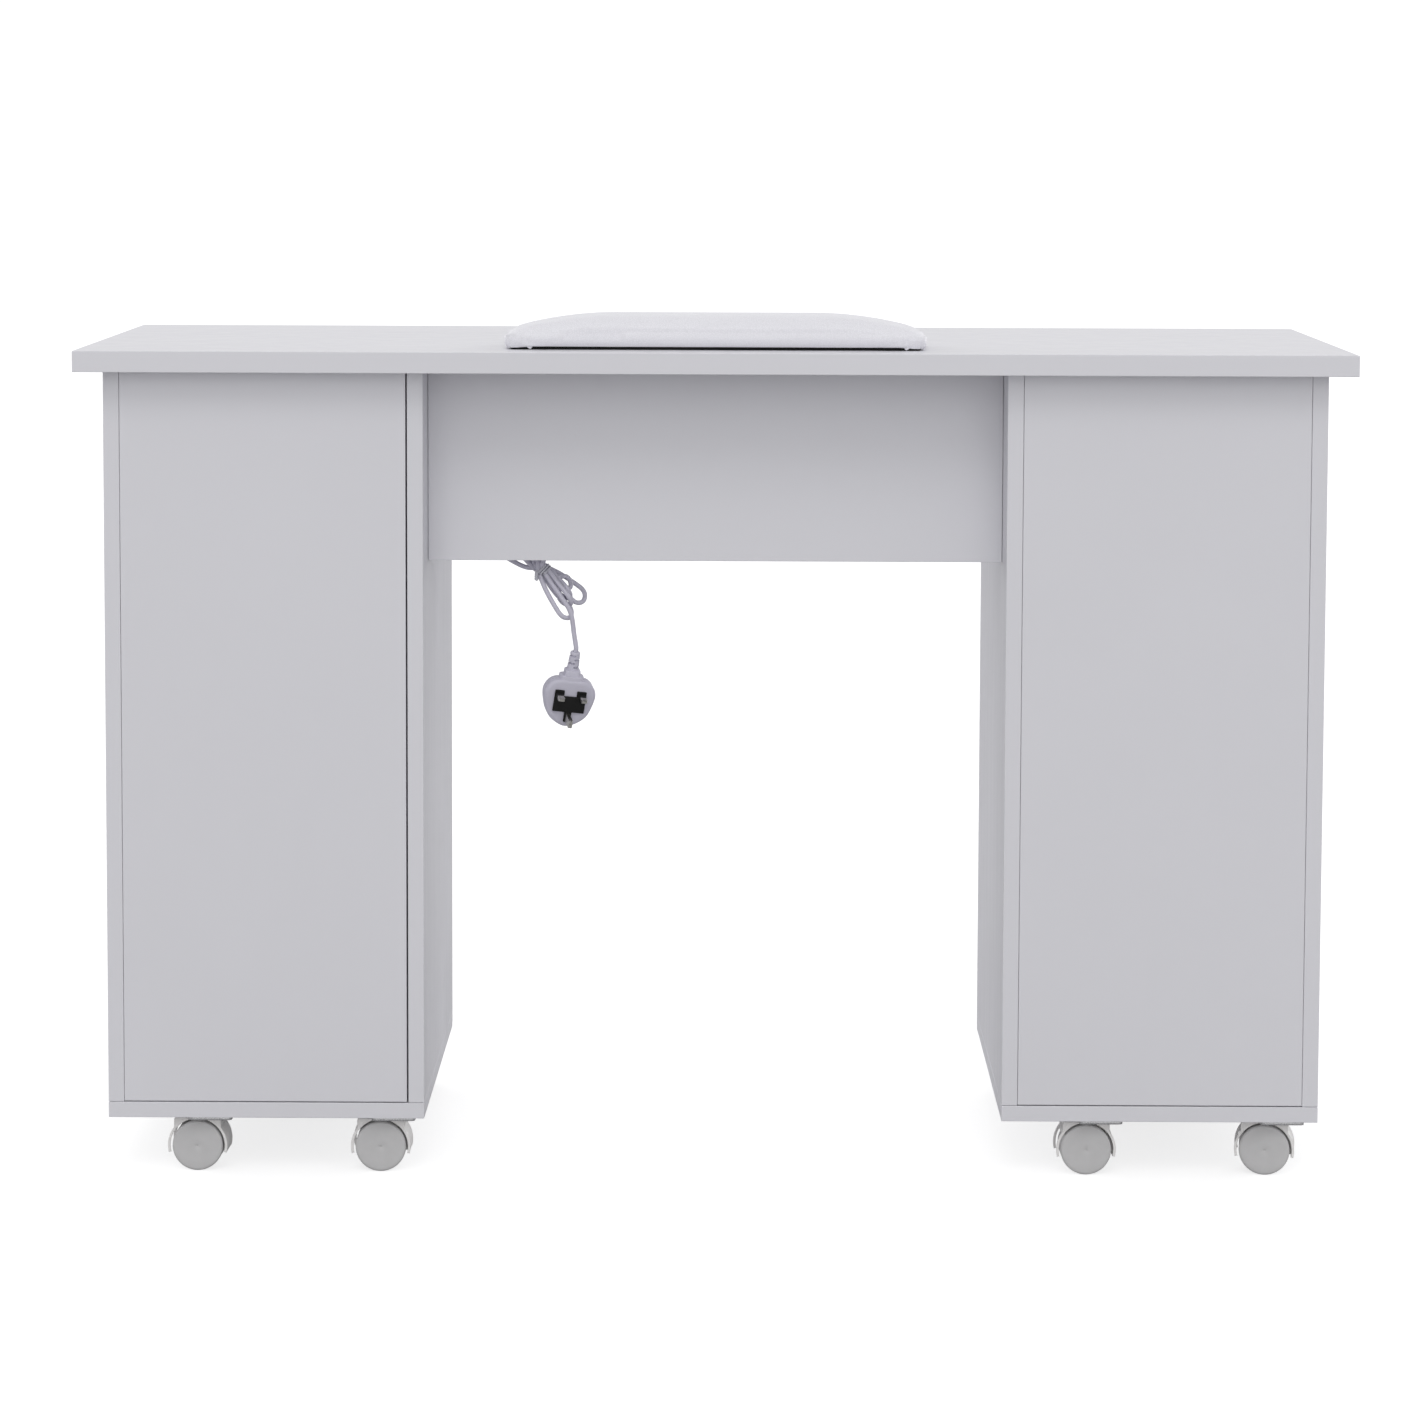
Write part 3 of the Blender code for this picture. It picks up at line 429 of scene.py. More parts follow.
def facing(point, direction):
    """A place whose own +Z points along a direction."""
    return Matrix.Translation(point) @ Vector(direction).to_track_quat("Z", "Y").to_matrix().to_4x4()


def screw(work, place, radius, height):
    """A pan head with a cross recess, standing up along its own +Z."""
    arm, half = radius * 0.62, radius * 0.17
    corners = []
    for turn in range(4):
        spin = Matrix.Rotation(turn * math.pi / 2, 2)
        corners += [spin @ Vector(corner) for corner in ((arm, half), (half, half), (half, arm))]
    loops = []
    for r, h in ((1.0, -0.1), (1.0, 0.3), (0.93, 0.62), (0.72, 0.95)):
        lift = place.to_3x3() @ Vector((0, 0, h * height))
        loops.append([place @ (c.normalized() * r * radius).to_3d() + lift for c in corners])
    for share, h in ((1.0, height), (0.85, height * 0.35)):
        loops.append([place @ Vector((c.x * share, c.y * share, h)) for c in corners])
    rings(work, loops)


def screws(name, places, body, radius, height):
    work = bmesh.new()
    for place in places:
        screw(work, place, radius, height)
    piece(name, work, STEEL, body, degrees=30.0)


def round_curve(name, routes, radius, resolution, cyclic=False):
    """A round tube along each route."""
    curve = bpy.data.curves.new(name, "CURVE")
    curve.dimensions = "3D"
    curve.bevel_depth = radius
    curve.bevel_resolution = resolution
    curve.use_fill_caps = True
    for route in routes:
        spline = curve.splines.new("POLY")
        spline.points.add(len(route) - 1)
        for target, point in zip(spline.points, route):
            target.co = (*point, 1.0)
        spline.use_cyclic_u = cyclic
        spline.use_smooth = True
    return curve


def wire(name, routes, radius, material, cyclic=False):
    piece(name, round_curve(name, routes, radius, 3, cyclic), material, "root")


# ---- camera, light and floor ----
def camera():
    data = bpy.data.cameras.new("camera")
    data.sensor_width = 36.0
    data.lens = CAMERA_LENS
    data.shift_y = CAMERA_SHIFT
    obj = linked("camera", data)
    turn = (
        Matrix.Rotation(CAMERA_YAW, 4, "Z")
        @ Matrix.Rotation(math.pi / 2 - CAMERA_PITCH, 4, "X")
        @ Matrix.Rotation(CAMERA_ROLL, 4, "Z")
    )
    obj.matrix_world = Matrix.Translation(CAMERA_AT) @ turn
    bpy.context.scene.camera = obj


def lamp(name, energy, place, softness):
    """A distant lamp aimed at the middle of the table."""
    data = bpy.data.lights.new(name, "SUN")
    data.energy = energy
    data.angle = math.radians(softness)
    obj = linked(name, data)
    obj.location = place
    obj.rotation_euler = (Vector(LAMPS_AIM) - Vector(place)).to_track_quat("-Z", "Y").to_euler()


def studio():
    """A pale floor under an even white surround, with the soft lamps."""
    world = bpy.data.worlds.new("studio")
    bpy.context.scene.world = world
    world.use_nodes = True
    tree = world.node_tree
    seen = add(tree, "LightPath").outputs["Is Camera Ray"]
    strength = spread(tree, seen, 0.0, 1.0, SURROUND, 1.02)
    feed(tree, tree.nodes["Background"], Color=WHITE, Strength=strength)
    bpy.context.scene.view_settings.view_transform = "Standard"
    for i, (strength, place, softness) in enumerate(LAMPS):
        lamp(f"lamp_{i}", strength, place, softness)
    work = bmesh.new()
    bmesh.ops.create_grid(work, x_segments=1, y_segments=1, size=30.0)
    floor = linked("studio_floor", mesh_from(work, "studio_floor"))
    material, tree, shader, place = new_material("studio_floor")
    tone = blotches(tree, place, 0.8)
    seen = add(tree, "LightPath").outputs["Is Camera Ray"]
    feed(
        tree, shader,
        Base_Color=mix(tree, tone, *FLOOR_TONES),
        Roughness=0.85,
        Specular_IOR_Level=0.1,
        Emission_Color=WHITE,
        Emission_Strength=spread(tree, seen, 0.0, 1.0, 0.0, FLOOR_GLOW),
    )
    floor.data.materials.append(material)


# ---- mains cord ----
LOWER_LOOPS = (  # direction at the tie, direction at the end, lean of its plane, length, half width
    (-24.0, -55.0, 46.0, 0.0524, 0.0092),
    (-42.0, -52.0, -55.0, 0.0400, 0.0090),
    (-30.0, -38.0, 50.0, 0.0340, 0.0090),
    (-52.0, -50.0, -56.0, 0.0450, 0.0090),
    (-71.0, -44.0, 57.0, 0.0548, 0.0092),
)
UPPER_LOOPS = (
    (152.0, 134.0, 46.0, 0.0500, 0.0092),
    (136.0, 122.0, -50.0, 0.0480, 0.0092),
    (118.0, 108.0, 50.0, 0.0440, 0.0092),
    (104.0, 96.0, -52.0, 0.0380, 0.0092),
    (86.0, 84.0, 40.0, 0.0310, 0.0092),
)
TAIL_STEPS = (  # from the tie, down the client's side of the loops
    (0.0105, -0.0090, -0.0130),
    (0.0205, -0.0105, -0.0270),
    (0.0278, -0.0110, -0.0380),
    (0.0308, -0.0105, -0.0480),
    (0.0325, -0.0090, -0.0620),
)
BUNDLE_ACROSS = Vector((0.731, 0.0, 0.682))  # across the bundle where the tie holds it
BUNDLE_ROWS = ((-0.5, 0.5), (1.0, 0.0, -1.0), (-0.5, 0.5), (1.0, 0.0), (-0.5, 0.5))  # in cord diameters
ROW_STEP = 0.87  # between rows, in cord diameters, so that the runs nest


def bundle_spots():
    """Where each run of cord passes the tie, from the rear row to the row nearest the client."""
    spots = []
    for i, row in enumerate(BUNDLE_ROWS):
        depth = ((len(BUNDLE_ROWS) - 1) / 2 - i) * ROW_STEP * CORD_D
        spots += [BUNDLE_ACROSS * across * CORD_D + Vector((0.0, depth, 0.0)) for across in row]
    return spots


def loop_of_hank(loop, start, end):
    """Guide points round one loop, from where it leaves the tie to where it comes back."""
    first, last, lean, length, radius = (*(math.radians(angle) for angle in loop[:3]), *loop[3:])
    reach = length - radius
    middle = Vector((0.0, (start.y + end.y) / 2, 0.0))

    def spine(share):
        """A point on the loop's middle line, which bends evenly, and the way it heads there."""
        chord = first + (last - first) * share / 2
        heading = first + (last - first) * share
        point = Vector((math.cos(chord), 0.0, math.sin(chord))) * length * share
        return point, Vector((math.cos(heading), 0.0, math.sin(heading)))

    def across(heading):
        upright = Vector((-heading.z, 0.0, heading.x))
        side = upright * math.cos(lean) + Vector((0.0, math.sin(lean), 0.0))
        return side if upright.dot(start - end) >= 0 else -side

    out, back = [], []
    for share in (0.28, 0.56):
        point, heading = spine(share)
        swell = share**1.1
        out.append(point + start.lerp(middle + across(heading) * radius, swell))
        back.append(point + end.lerp(middle - across(heading) * radius, swell))
    centre, heading = spine(reach / length)
    bend = []
    for degrees in (90, 45, 0, -45, -90):
        a = math.radians(degrees)
        bend.append(middle + centre + (heading * math.cos(a) + across(heading) * math.sin(a)) * radius)
    return [TIE_AT + point for point in (*out, *bend, *reversed(back))]


def catmull_rom(a, b, c, d, t):
    """A point between b and c, on the smooth curve that also passes a and d."""
    bend = (2 * a - 5 * b + 4 * c - d) * t**2 + (3 * b - a - 3 * c + d) * t**3
    return 0.5 * (2 * b + (c - a) * t + bend)


def smooth_route(points, step):
    """Points every step or so along a smooth curve through the given ones."""
    guides = [Vector(point) for point in points]
    guides = [2 * guides[0] - guides[1], *guides, 2 * guides[-1] - guides[-2]]
    route = []
    for a, b, c, d in zip(guides, guides[1:], guides[2:], guides[3:]):
        pieces = max(2, round((c - b).length / step))
        route += [catmull_rom(a, b, c, d, i / pieces) for i in range(pieces)]
    route.append(guides[-2])
    return route


def cord_route():
    """From the strain relief down behind the modesty panel, through the hank's five turns, to the plug."""
    low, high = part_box("cord_strain_relief")
    middle = (low + high) / 2
    exit_point = Vector((low.x, middle.y, middle.z))
    up = PLUG_TURN.to_matrix() @ Vector((0.0, 0.0, 1.0))
    inlet = PLUG_CENTRE + up * PLUG_RELIEF_TOP
    guides = [exit_point + Vector((x, 0.0, 0.0)) for x in (0.008, -0.004)]
    guides += LEAD_ROUTE
    spots = bundle_spots()
    guides.append(TIE_AT + spots[0])
    for i, (lower, upper) in enumerate(zip(LOWER_LOOPS, UPPER_LOOPS)):
        first, second, third = spots[2 * i : 2 * i + 3]
        guides += [*loop_of_hank(lower, first, second), TIE_AT + second]
        guides += [*loop_of_hank(upper, second, third), TIE_AT + third]
    guides += [TIE_AT + Vector(step) for step in TAIL_STEPS]
    guides += [inlet + up * 0.004, inlet, inlet - up * 0.008]
    return smooth_route(guides, 0.0022), exit_point


def cord():
    route, exit_point = cord_route()
    curve = round_curve("mains_cord", [route], CORD_D / 2, 4)
    obj = piece("mains_cord", curve, FLEX, "root", ("cord_lead", "cord_hank", "cord_tail"))


def hank_tie():
    """A paper-covered wire wound twice round the hank, with its ends twisted together."""
    along = Vector((-BUNDLE_ACROSS.z, 0.0, BUNDLE_ACROSS.x))
    half_across, half_deep = 1.5 * CORD_D + TIE_R, 2.3 * CORD_D + TIE_R
    turns, steps = 2.15, 30
    route = []
    for i in range(round(turns * steps) + 1):
        a = 2 * math.pi * i / steps - math.pi / 2
        shift = (i / steps - turns / 2) * 2.5 * TIE_R
        round_hank = BUNDLE_ACROSS * half_across * math.cos(a) + Vector((0.0, half_deep * math.sin(a), 0.0))
        route.append(TIE_AT + round_hank + along * (shift + TIE_UP))
    knot = TIE_AT + Vector((-0.0055, -half_deep - TIE_R, 0.0006)) + along * TIE_UP
    ends = []
    for phase in (0.0, math.pi):
        twist = []
        for i in range(25):
            a = phase + i * 0.62
            grown = TIE_R * (0.75 + 0.02 * i)
            twist.append(knot + Vector((grown * math.cos(a), grown * math.sin(a), -0.00035 * i)))
        ends.append(twist)
    wire("hank_tie", [route, *ends], TIE_R, TIE_PAPER)


# ---- plug ----
def closed_curve(points, steps):
    """A smooth closed outline through its points."""
    out = []
    for i, b in enumerate(points):
        a, c, d = points[i - 1], points[(i + 1) % len(points)], points[(i + 2) % len(points)]
        a, b, c, d = (Vector(point) for point in (a, b, c, d))
        out += [catmull_rom(a, b, c, d, k / steps) for k in range(steps)]
    return out


def fuller(share, power):
    """A sine or cosine raised to a power under 1, which makes a circle squarer."""
    return math.copysign(abs(share) ** power, share)


def rounded_section(half_x, half_y, z, count=32):
    """A rectangle with very round corners, level at z."""
    turns = [2 * math.pi * i / count for i in range(count)]
    corners = [(fuller(math.cos(a), 0.5), fuller(math.sin(a), 0.5)) for a in turns]
    return [Vector((half_x * x, half_y * y, z)) for x, y in corners]


def plug_mesh():
    """The moulded shell with its parting line, two collars and the slotted strain relief."""
    half = [(0.0165, 0.0225), (0.0245, 0.0130), (0.0238, 0.0), (0.0170, -0.0150)]
    points = [(0.0, 0.0236), *half, (0.0, -0.0236), *[(-x, z) for x, z in reversed(half)]]
    rim = closed_curve(points, 8)
    reach = max(point.x for point in rim)
    sides = (
        (-0.0090, 0.0042), (-0.0089, 0.0030), (-0.0085, 0.0016), (-0.0077, 0.0006), (-0.0064, 0.0),
        (-0.00035, 0.0), (-0.0002, 0.0004), (0.0002, 0.0004), (0.00035, 0.0),
        (0.0052, 0.0), (0.0070, 0.0007), (0.0082, 0.0020), (0.0089, 0.0044), (0.0092, 0.0100),
    )  # depth from the middle, inset from the rim
    work = bmesh.new()
    loops = []
    for y, inset in sides:
        loops.append([Vector((p.x * (1 - inset / reach), y, p.y * (1 - inset / reach))) for p in rim])
    rings(work, loops)
    for sections in (  # of each collar: height, half width, half depth
        (
            (0.0150, 0.0118, 0.0082), (0.0262, 0.0118, 0.0081),
            (0.0268, 0.0115, 0.0079), (0.0271, 0.0109, 0.0073),
        ),
        (
            (0.0240, 0.0079, 0.0072), (0.0318, 0.0077, 0.0070),
            (0.0323, 0.0074, 0.0067), (0.0326, 0.0068, 0.0061),
        ),
    ):
        rings(work, [rounded_section(half_x, half_y, z) for z, half_x, half_y in sections])
    relief = []
    low, count = 0.0320, 48
    height = PLUG_RELIEF_TOP - low
    levels = [low, low + 0.0010]
    for i in range(RELIEF_SLOTS):
        z = low + height * (i + 1) / (RELIEF_SLOTS + 1)
        levels += [z - 0.0009, z - 0.0007, z + 0.0007, z + 0.0009]
    levels += [PLUG_RELIEF_TOP - 0.0008, PLUG_RELIEF_TOP]
    for k, z in enumerate(levels):
        radius = 0.0059 - 0.0012 * (z - low) / height
        if z == PLUG_RELIEF_TOP:
            radius -= 0.0006
        slot = (k - 2) // 4 if 2 <= k < 2 + 4 * RELIEF_SLOTS and (k - 2) % 4 in (1, 2) else None
        loop = []
        for i in range(count):
            a = 2 * math.pi * i / count
            cut = slot is not None and math.cos(a) * (-1) ** slot > -0.10
            r = 0.0034 if cut else radius
            loop.append(Vector((r * math.cos(a), r * math.sin(a), z)))
        relief.append(loop)
    rings(work, relief)
    return mesh_from(work, "plug_shell")


def pin_block(work, x, z, half_x, half_z, near, far, taper=0.0):
    """A flat pin from near to far along -Y, its tip drawn in."""
    tip = min(0.0022, far - near)
    sections = ((near, 0.0), (far - tip, 0.0), (far - tip * 0.3, taper * 0.5), (far, taper))
    loops = []
    for y, inset in sections:
        wide, tall = half_x - inset, half_z - inset
        corners = rectangle((x - wide, z - tall), (x + wide, z + tall), 0.0005)
        loops.append([Vector((p[0], -y, p[1])) for p in corners])
    rings(work, loops)


def plug():
    turn = Matrix.Translation(PLUG_CENTRE) @ PLUG_TURN.to_matrix().to_4x4()
    shell = plug_mesh()
    shell.transform(turn)
    piece("plug_shell", shell, FLEX, "root", ("plug_body",), 50.0)
    foot, low, notch, high = -0.0180, -0.0080, 0.0077, 0.0135
    right = [(0.0035, foot), (0.0035, low), (0.0155, low), (0.0155, high), (0.0062, high), (0.0062, notch)]
    left = [(-x, z) for x, z in reversed(right)]
    outline = [*left[3:], *right, *left[:3]]
    face = Matrix.Translation((0.0, -PLUG_FACE, 0.0)) @ UPRIGHT
    insert = plate_mesh("insert", [round_corners(outline, 0.0008, 3)], 0.0011, 0.0004, face)
    sleeves = bmesh.new()
    for side in (-1, 1):
        x = side * PIN_SPACING / 2
        pin_block(sleeves, x, PIN_LINE, 0.0032, 0.0020, PLUG_FACE, PLUG_FACE + 0.0092, 0.0002)
    pins = joined("plug_insert", insert, mesh_from(sleeves, "sleeves"))
    pins.transform(turn)
    piece("plug_insert", pins, BLACK_PLASTIC, "root", ("plug_pins",), 30.0)
    work = bmesh.new()
    for side in (-1, 1):
        x = side * PIN_SPACING / 2
        pin_block(work, x, PIN_LINE, 0.0030, 0.0018, PLUG_FACE + 0.0085, PLUG_FACE + PIN_L, 0.0007)
    earth = PIN_LINE - PIN_SPACING
    pin_block(work, 0.0, earth, 0.0020, 0.0040, PLUG_FACE, PLUG_FACE + EARTH_PIN_L, 0.0009)
    metal = mesh_from(work, "plug_contacts")
    metal.transform(turn)
    piece("plug_contacts", metal, PIN_METAL, "root", degrees=30.0)


def strain_relief():
    """The gland on the housing's wall: a hexagonal nut, then ribs that thin towards the flex."""
    low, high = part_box("cord_strain_relief")
    length = high.x - low.x
    place = facing((high.x, (low.y + high.y) / 2, (low.z + high.z) / 2), (-1.0, 0.0, 0.0))
    work = bmesh.new()
    flange = [(0.0066, 0.0), (0.0085, 0.0), (0.0085, 0.0010), (0.0080, 0.0014), (0.0060, 0.0014)]
    lathe(work, flange, place, 40)
    lathe(work, [(0.0070, 0.0012), (0.0074, 0.0016), (0.0074, 0.0058), (0.0068, 0.0064)], place, 6)
    ribs = [(0.0050, 0.0050)]
    for i in range(7):
        z = 0.0066 + i * (length - 0.0082) / 7
        radius = 0.0050 - 0.0013 * i / 7
        groove = radius - 0.0007
        ribs += [(groove, z), (groove, z + 0.0007), (radius, z + 0.0010), (radius, z + 0.0022)]
    ribs += [(0.0032, length - 0.0006), (0.0028, length)]
    lathe(work, ribs, place, 32)
    piece("flex_gland", work, WHITE_PLASTIC, "root", ("cord_strain_relief",), 30.0)


# ---- casters ----
AXLE = Matrix.Translation((-CASTER_TRAIL, 0.0, WHEEL_R)) @ UPRIGHT  # the wheels' middle, facing the side


def caster_hood_mesh():
    """A half-round cover over both wheels with flat shoulders, and a web that holds the stem and axle."""
    shoulder_x, top = 0.0225, HOOD_TOP - WHEEL_R
    corner = 0.0026
    start = math.degrees(math.asin(-HOOD_SKIRT / HOOD_OUTER_R))
    meets = math.degrees(math.acos(shoulder_x / HOOD_OUTER_R))
    right = arc((shoulder_x - corner, top - corner), corner, 0, 90, 5)
    shoulders = [*right, *((-x, y) for x, y in reversed(right))]
    rim = arc((0, 0), HOOD_OUTER_R, start, meets, 12) + shoulders
    rim += arc((0, 0), HOOD_OUTER_R, 180 - meets, 180 - start, 12)
    rim += arc((0, 0), HOOD_INNER_R, 180 - start, start, 36)
    half_face = HOOD_FACE / 2
    covers = []
    for side in (-1, 1):
        shift = Matrix.Translation((0.0, side * (HOOD_HALF_W - half_face), 0.0))
        covers.append(plate_mesh("face", [rim], half_face, 0.0006, shift @ AXLE))
    roof_r = HOOD_OUTER_R - 0.0003
    roof = arc((0, 0), roof_r, start, meets, 12) + shoulders
    roof += arc((0, 0), roof_r, 180 - meets, HOOD_OPENS, 4)
    roof += arc((0, 0), HOOD_INNER_R, HOOD_OPENS, start, 36)
    covers.append(plate_mesh("roof", [roof], HOOD_HALF_W - half_face, 0.0004, AXLE))
    web_rim = arc((0, 0), HOOD_INNER_R + 0.0004, start, 118, 24) + arc((0, 0), 0.0078, 150, 300, 10)
    web = plate_mesh("web", [web_rim], WEB_HALF, 0.0005, AXLE)
    boss = [
        (0.0060, -0.016), (0.0070, -0.014), (0.0088, -0.003),
        (0.0088, 0.0), (0.0082, 0.0003), (0.0040, 0.0003),
    ]
    work = bmesh.new()
    lathe(work, [(radius, HOOD_TOP + z) for radius, z in boss], sides=32)
    return joined("caster_hood", *covers, web, mesh_from(work, "boss"))


def caster_wheels_mesh():
    """Two dished wheels with a rolled tread, and the axle between them."""
    w = WHEEL_HALF_W
    face = [
        (0.0, w - 0.0011), (0.0009, w - 0.0011), (0.0011, w - 0.0006), (0.0016, w - 0.0004),
        (0.0080, w - 0.0003), (0.0150, w - 0.0002), (0.0208, w - 0.0001),
        (0.0224, w - 0.0002), (0.0234, w - 0.0006), (0.0240, w - 0.0014), (WHEEL_R, w - 0.0028),
        (WHEEL_R, WEB_HALF + 0.0032), (0.0236, WEB_HALF + 0.0017), (0.0226, WEB_HALF + 0.0010),
        (0.0080, WEB_HALF + 0.0008), (0.0030, WEB_HALF + 0.0006),
    ]
    profile = face + [(r, -h) for r, h in reversed(face)]
    return turned("caster_wheels", profile[1:-1], AXLE, 56)


def caster_plate_mesh():
    top = CASTER_H - 0.0004
    half_x, half_y, thick = 0.021, 0.029, 0.003
    at = Matrix.Translation((0.0, 0.0, top - thick / 2))
    outline = rectangle((-half_x, -half_y), (half_x, half_y), 0.0045)
    sheet = plate_mesh("plate", [outline], thick / 2, 0.0005, at)
    work = bmesh.new()
    low = top - thick
    bearing = [(0.0120, 0.0002), (0.0112, -0.0004), (0.0100, -0.0009), (0.0045, -0.0009)]
    lathe(work, [(radius, low + z) for radius, z in bearing], sides=36)
    stem = [(0.0030, low), (0.0030, HOOD_TOP - 0.0045), (0.0024, HOOD_TOP - 0.0050)]
    lathe(work, stem, sides=20)
    for x in (-0.0150, 0.0150):
        for y in (-0.0225, 0.0225):
            screw(work, facing((x, y, low), (0.0, 0.0, -1.0)), 0.0036, PLATE_SCREW_H)
    return joined("caster_plate", sheet, mesh_from(work, "fittings"))


def casters():
    """Two rows of four. Each trails its own way, as it was left."""
    looks = {
        "plate": (caster_plate_mesh(), STEEL, 30.0),
        "hood": (caster_hood_mesh(), HOOD_PLASTIC, 35.0),
        "wheels": (caster_wheels_mesh(), WHEEL_PLASTIC, 35.0),
    }
    for row, yaws in (("client", CLIENT_CASTER_YAW), ("rear", REAR_CASTER_YAW)):
        for number, yaw in enumerate(yaws, 1):
            stem = f"{row}_caster_{number}"
            low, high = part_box(f"{stem}_plate")
            place = Matrix.Translation(((low.x + high.x) / 2, (low.y + high.y) / 2, 0.0))
            bodies = {"plate": "root", "hood": f"{stem}_swivel", "wheels": f"{stem}_wheelset"}
            for part, body in bodies.items():
                mesh, material, degrees = looks[part]
                name = f"{stem}_{part}"
                spin = Matrix.Rotation(0.0 if part == "plate" else math.radians(yaw), 4, "Z")
                piece(f"{name}_shown", mesh, material, body, (name,), degrees, place @ spin)


# ---- wrist rest ----
def rest_base():
    """A thin black board with round corners under the cushion."""
    low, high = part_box("wrist_rest_base")
    half_t = (high.z - low.z) / 2
    place = Matrix.Translation((0.0, 0.0, low.z + half_t))
    outline = rectangle((low.x, low.y), (high.x, high.y), BOARD_CORNER)
    mesh = plate_mesh("rest_board", [outline], half_t, 0.0008, place)
    piece("rest_board", mesh, BLACK_BOARD, "wrist_rest", ("wrist_rest_base",))


def rest_half_height(x, reach):
    """The cushion's height along its length: level in the middle, then an easy slope to each end."""
    slope = min(max((abs(x) - REST_FLAT_HALF) / (reach - REST_FLAT_HALF), 0.0), 1.0)
    return REST_MID_T - (REST_MID_T - REST_END_T) * slope**REST_SLOPE_POWER


def cushion_cage():
    """Cross-sections from end to end: flat below, rounded shoulders above, drawn in at both ends."""
    low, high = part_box("wrist_rest_cushion")
    reach, deep = (high.x - low.x) / 2 - CUSHION_SLACK, (high.y - low.y) / 2 - CUSHION_SLACK
    middle_y = (low.y + high.y) / 2
    loops = []
    stations = 56
    for i in range(stations + 1):
        x = -reach * math.cos(math.pi * i / stations)
        near_end = max(0.0, (abs(x) - (reach - END_ROUND)) / END_ROUND)
        draw_in = math.sqrt(max(0.0, 1 - near_end**END_POWER))
        half_y = deep - END_ROUND * 0.9 * (1 - draw_in) - 0.004 * near_end
        height = (rest_half_height(x, reach) - CUSHION_SLACK) * (0.45 + 0.55 * draw_in)
        loop = []
        for k in range(28):
            a = 2 * math.pi * k / 28
            across = fuller(math.cos(a), SECTION_POWERS[0])
            up = fuller(math.sin(a), SECTION_POWERS[1])
            up = (max(up, FLAT_BELOW) - FLAT_BELOW) / (1 - FLAT_BELOW)
            loop.append(Vector((x, middle_y + half_y * across, low.z + height * up)))
        loops.append(loop)
    work = bmesh.new()
    rings(work, loops)
    return mesh_from(work, "wrist_cushion")


def inflate(obj, voxel, pressure, frames, cap):
    """Remeshes a padded piece, blows it up as cloth and keeps each point within cap of where it was."""
    scene = bpy.context.scene
    bpy.context.view_layer.objects.active = obj
    remesh = obj.modifiers.new("Even grid", "REMESH")
    remesh.mode = "VOXEL"
    remesh.voxel_size = voxel
    even = bake(obj)
    start = [vertex.co.copy() for vertex in even.vertices]
    cloth = obj.modifiers.new("Cover", "CLOTH")
    cloth.settings.use_pressure = True
    cloth.settings.uniform_pressure_force = pressure
    cloth.settings.effector_weights.gravity = 0.0
    cloth.settings.tension_stiffness = 25.0
    cloth.settings.bending_stiffness = 0.3
    cloth.settings.shrink_min = -0.012
    cloth.point_cache.frame_start = 1
    cloth.point_cache.frame_end = frames
    for frame_number in range(1, frames + 1):
        scene.frame_set(frame_number)
    blown = bake(obj)
    for vertex, rest in zip(blown.vertices, start):
        move = vertex.co - rest
        if move.length > cap:
            vertex.co = rest + move.normalized() * cap
    scene.frame_set(1)
    subdivide = obj.modifiers.new("Fine", "SUBSURF")
    subdivide.levels = subdivide.render_levels = 1
    bake(obj)


def outside_board(point, low, high):
    """How far a point stands outside the black board's outline, and the way straight out."""
    middle, half = (low + high) / 2, (high - low) / 2
    away = point - middle
    over = Vector((abs(away.x) - half.x, abs(away.y) - half.y)) + Vector((BOARD_CORNER, BOARD_CORNER))
    past = Vector((max(over.x, 0.0), max(over.y, 0.0)))
    way = past.normalized()
    if not past.length:
        way = Vector((1.0, 0.0)) if over.x > over.y else Vector((0.0, 1.0))
    distance = past.length + min(max(over.x, over.y), 0.0) - BOARD_CORNER
    return distance, Vector((math.copysign(way.x, away.x), math.copysign(way.y, away.y), 0.0))


def ease(value, low, high):
    share = min(max((value - low) / (high - low), 0.0), 1.0)
    return share * share * (3 - 2 * share)


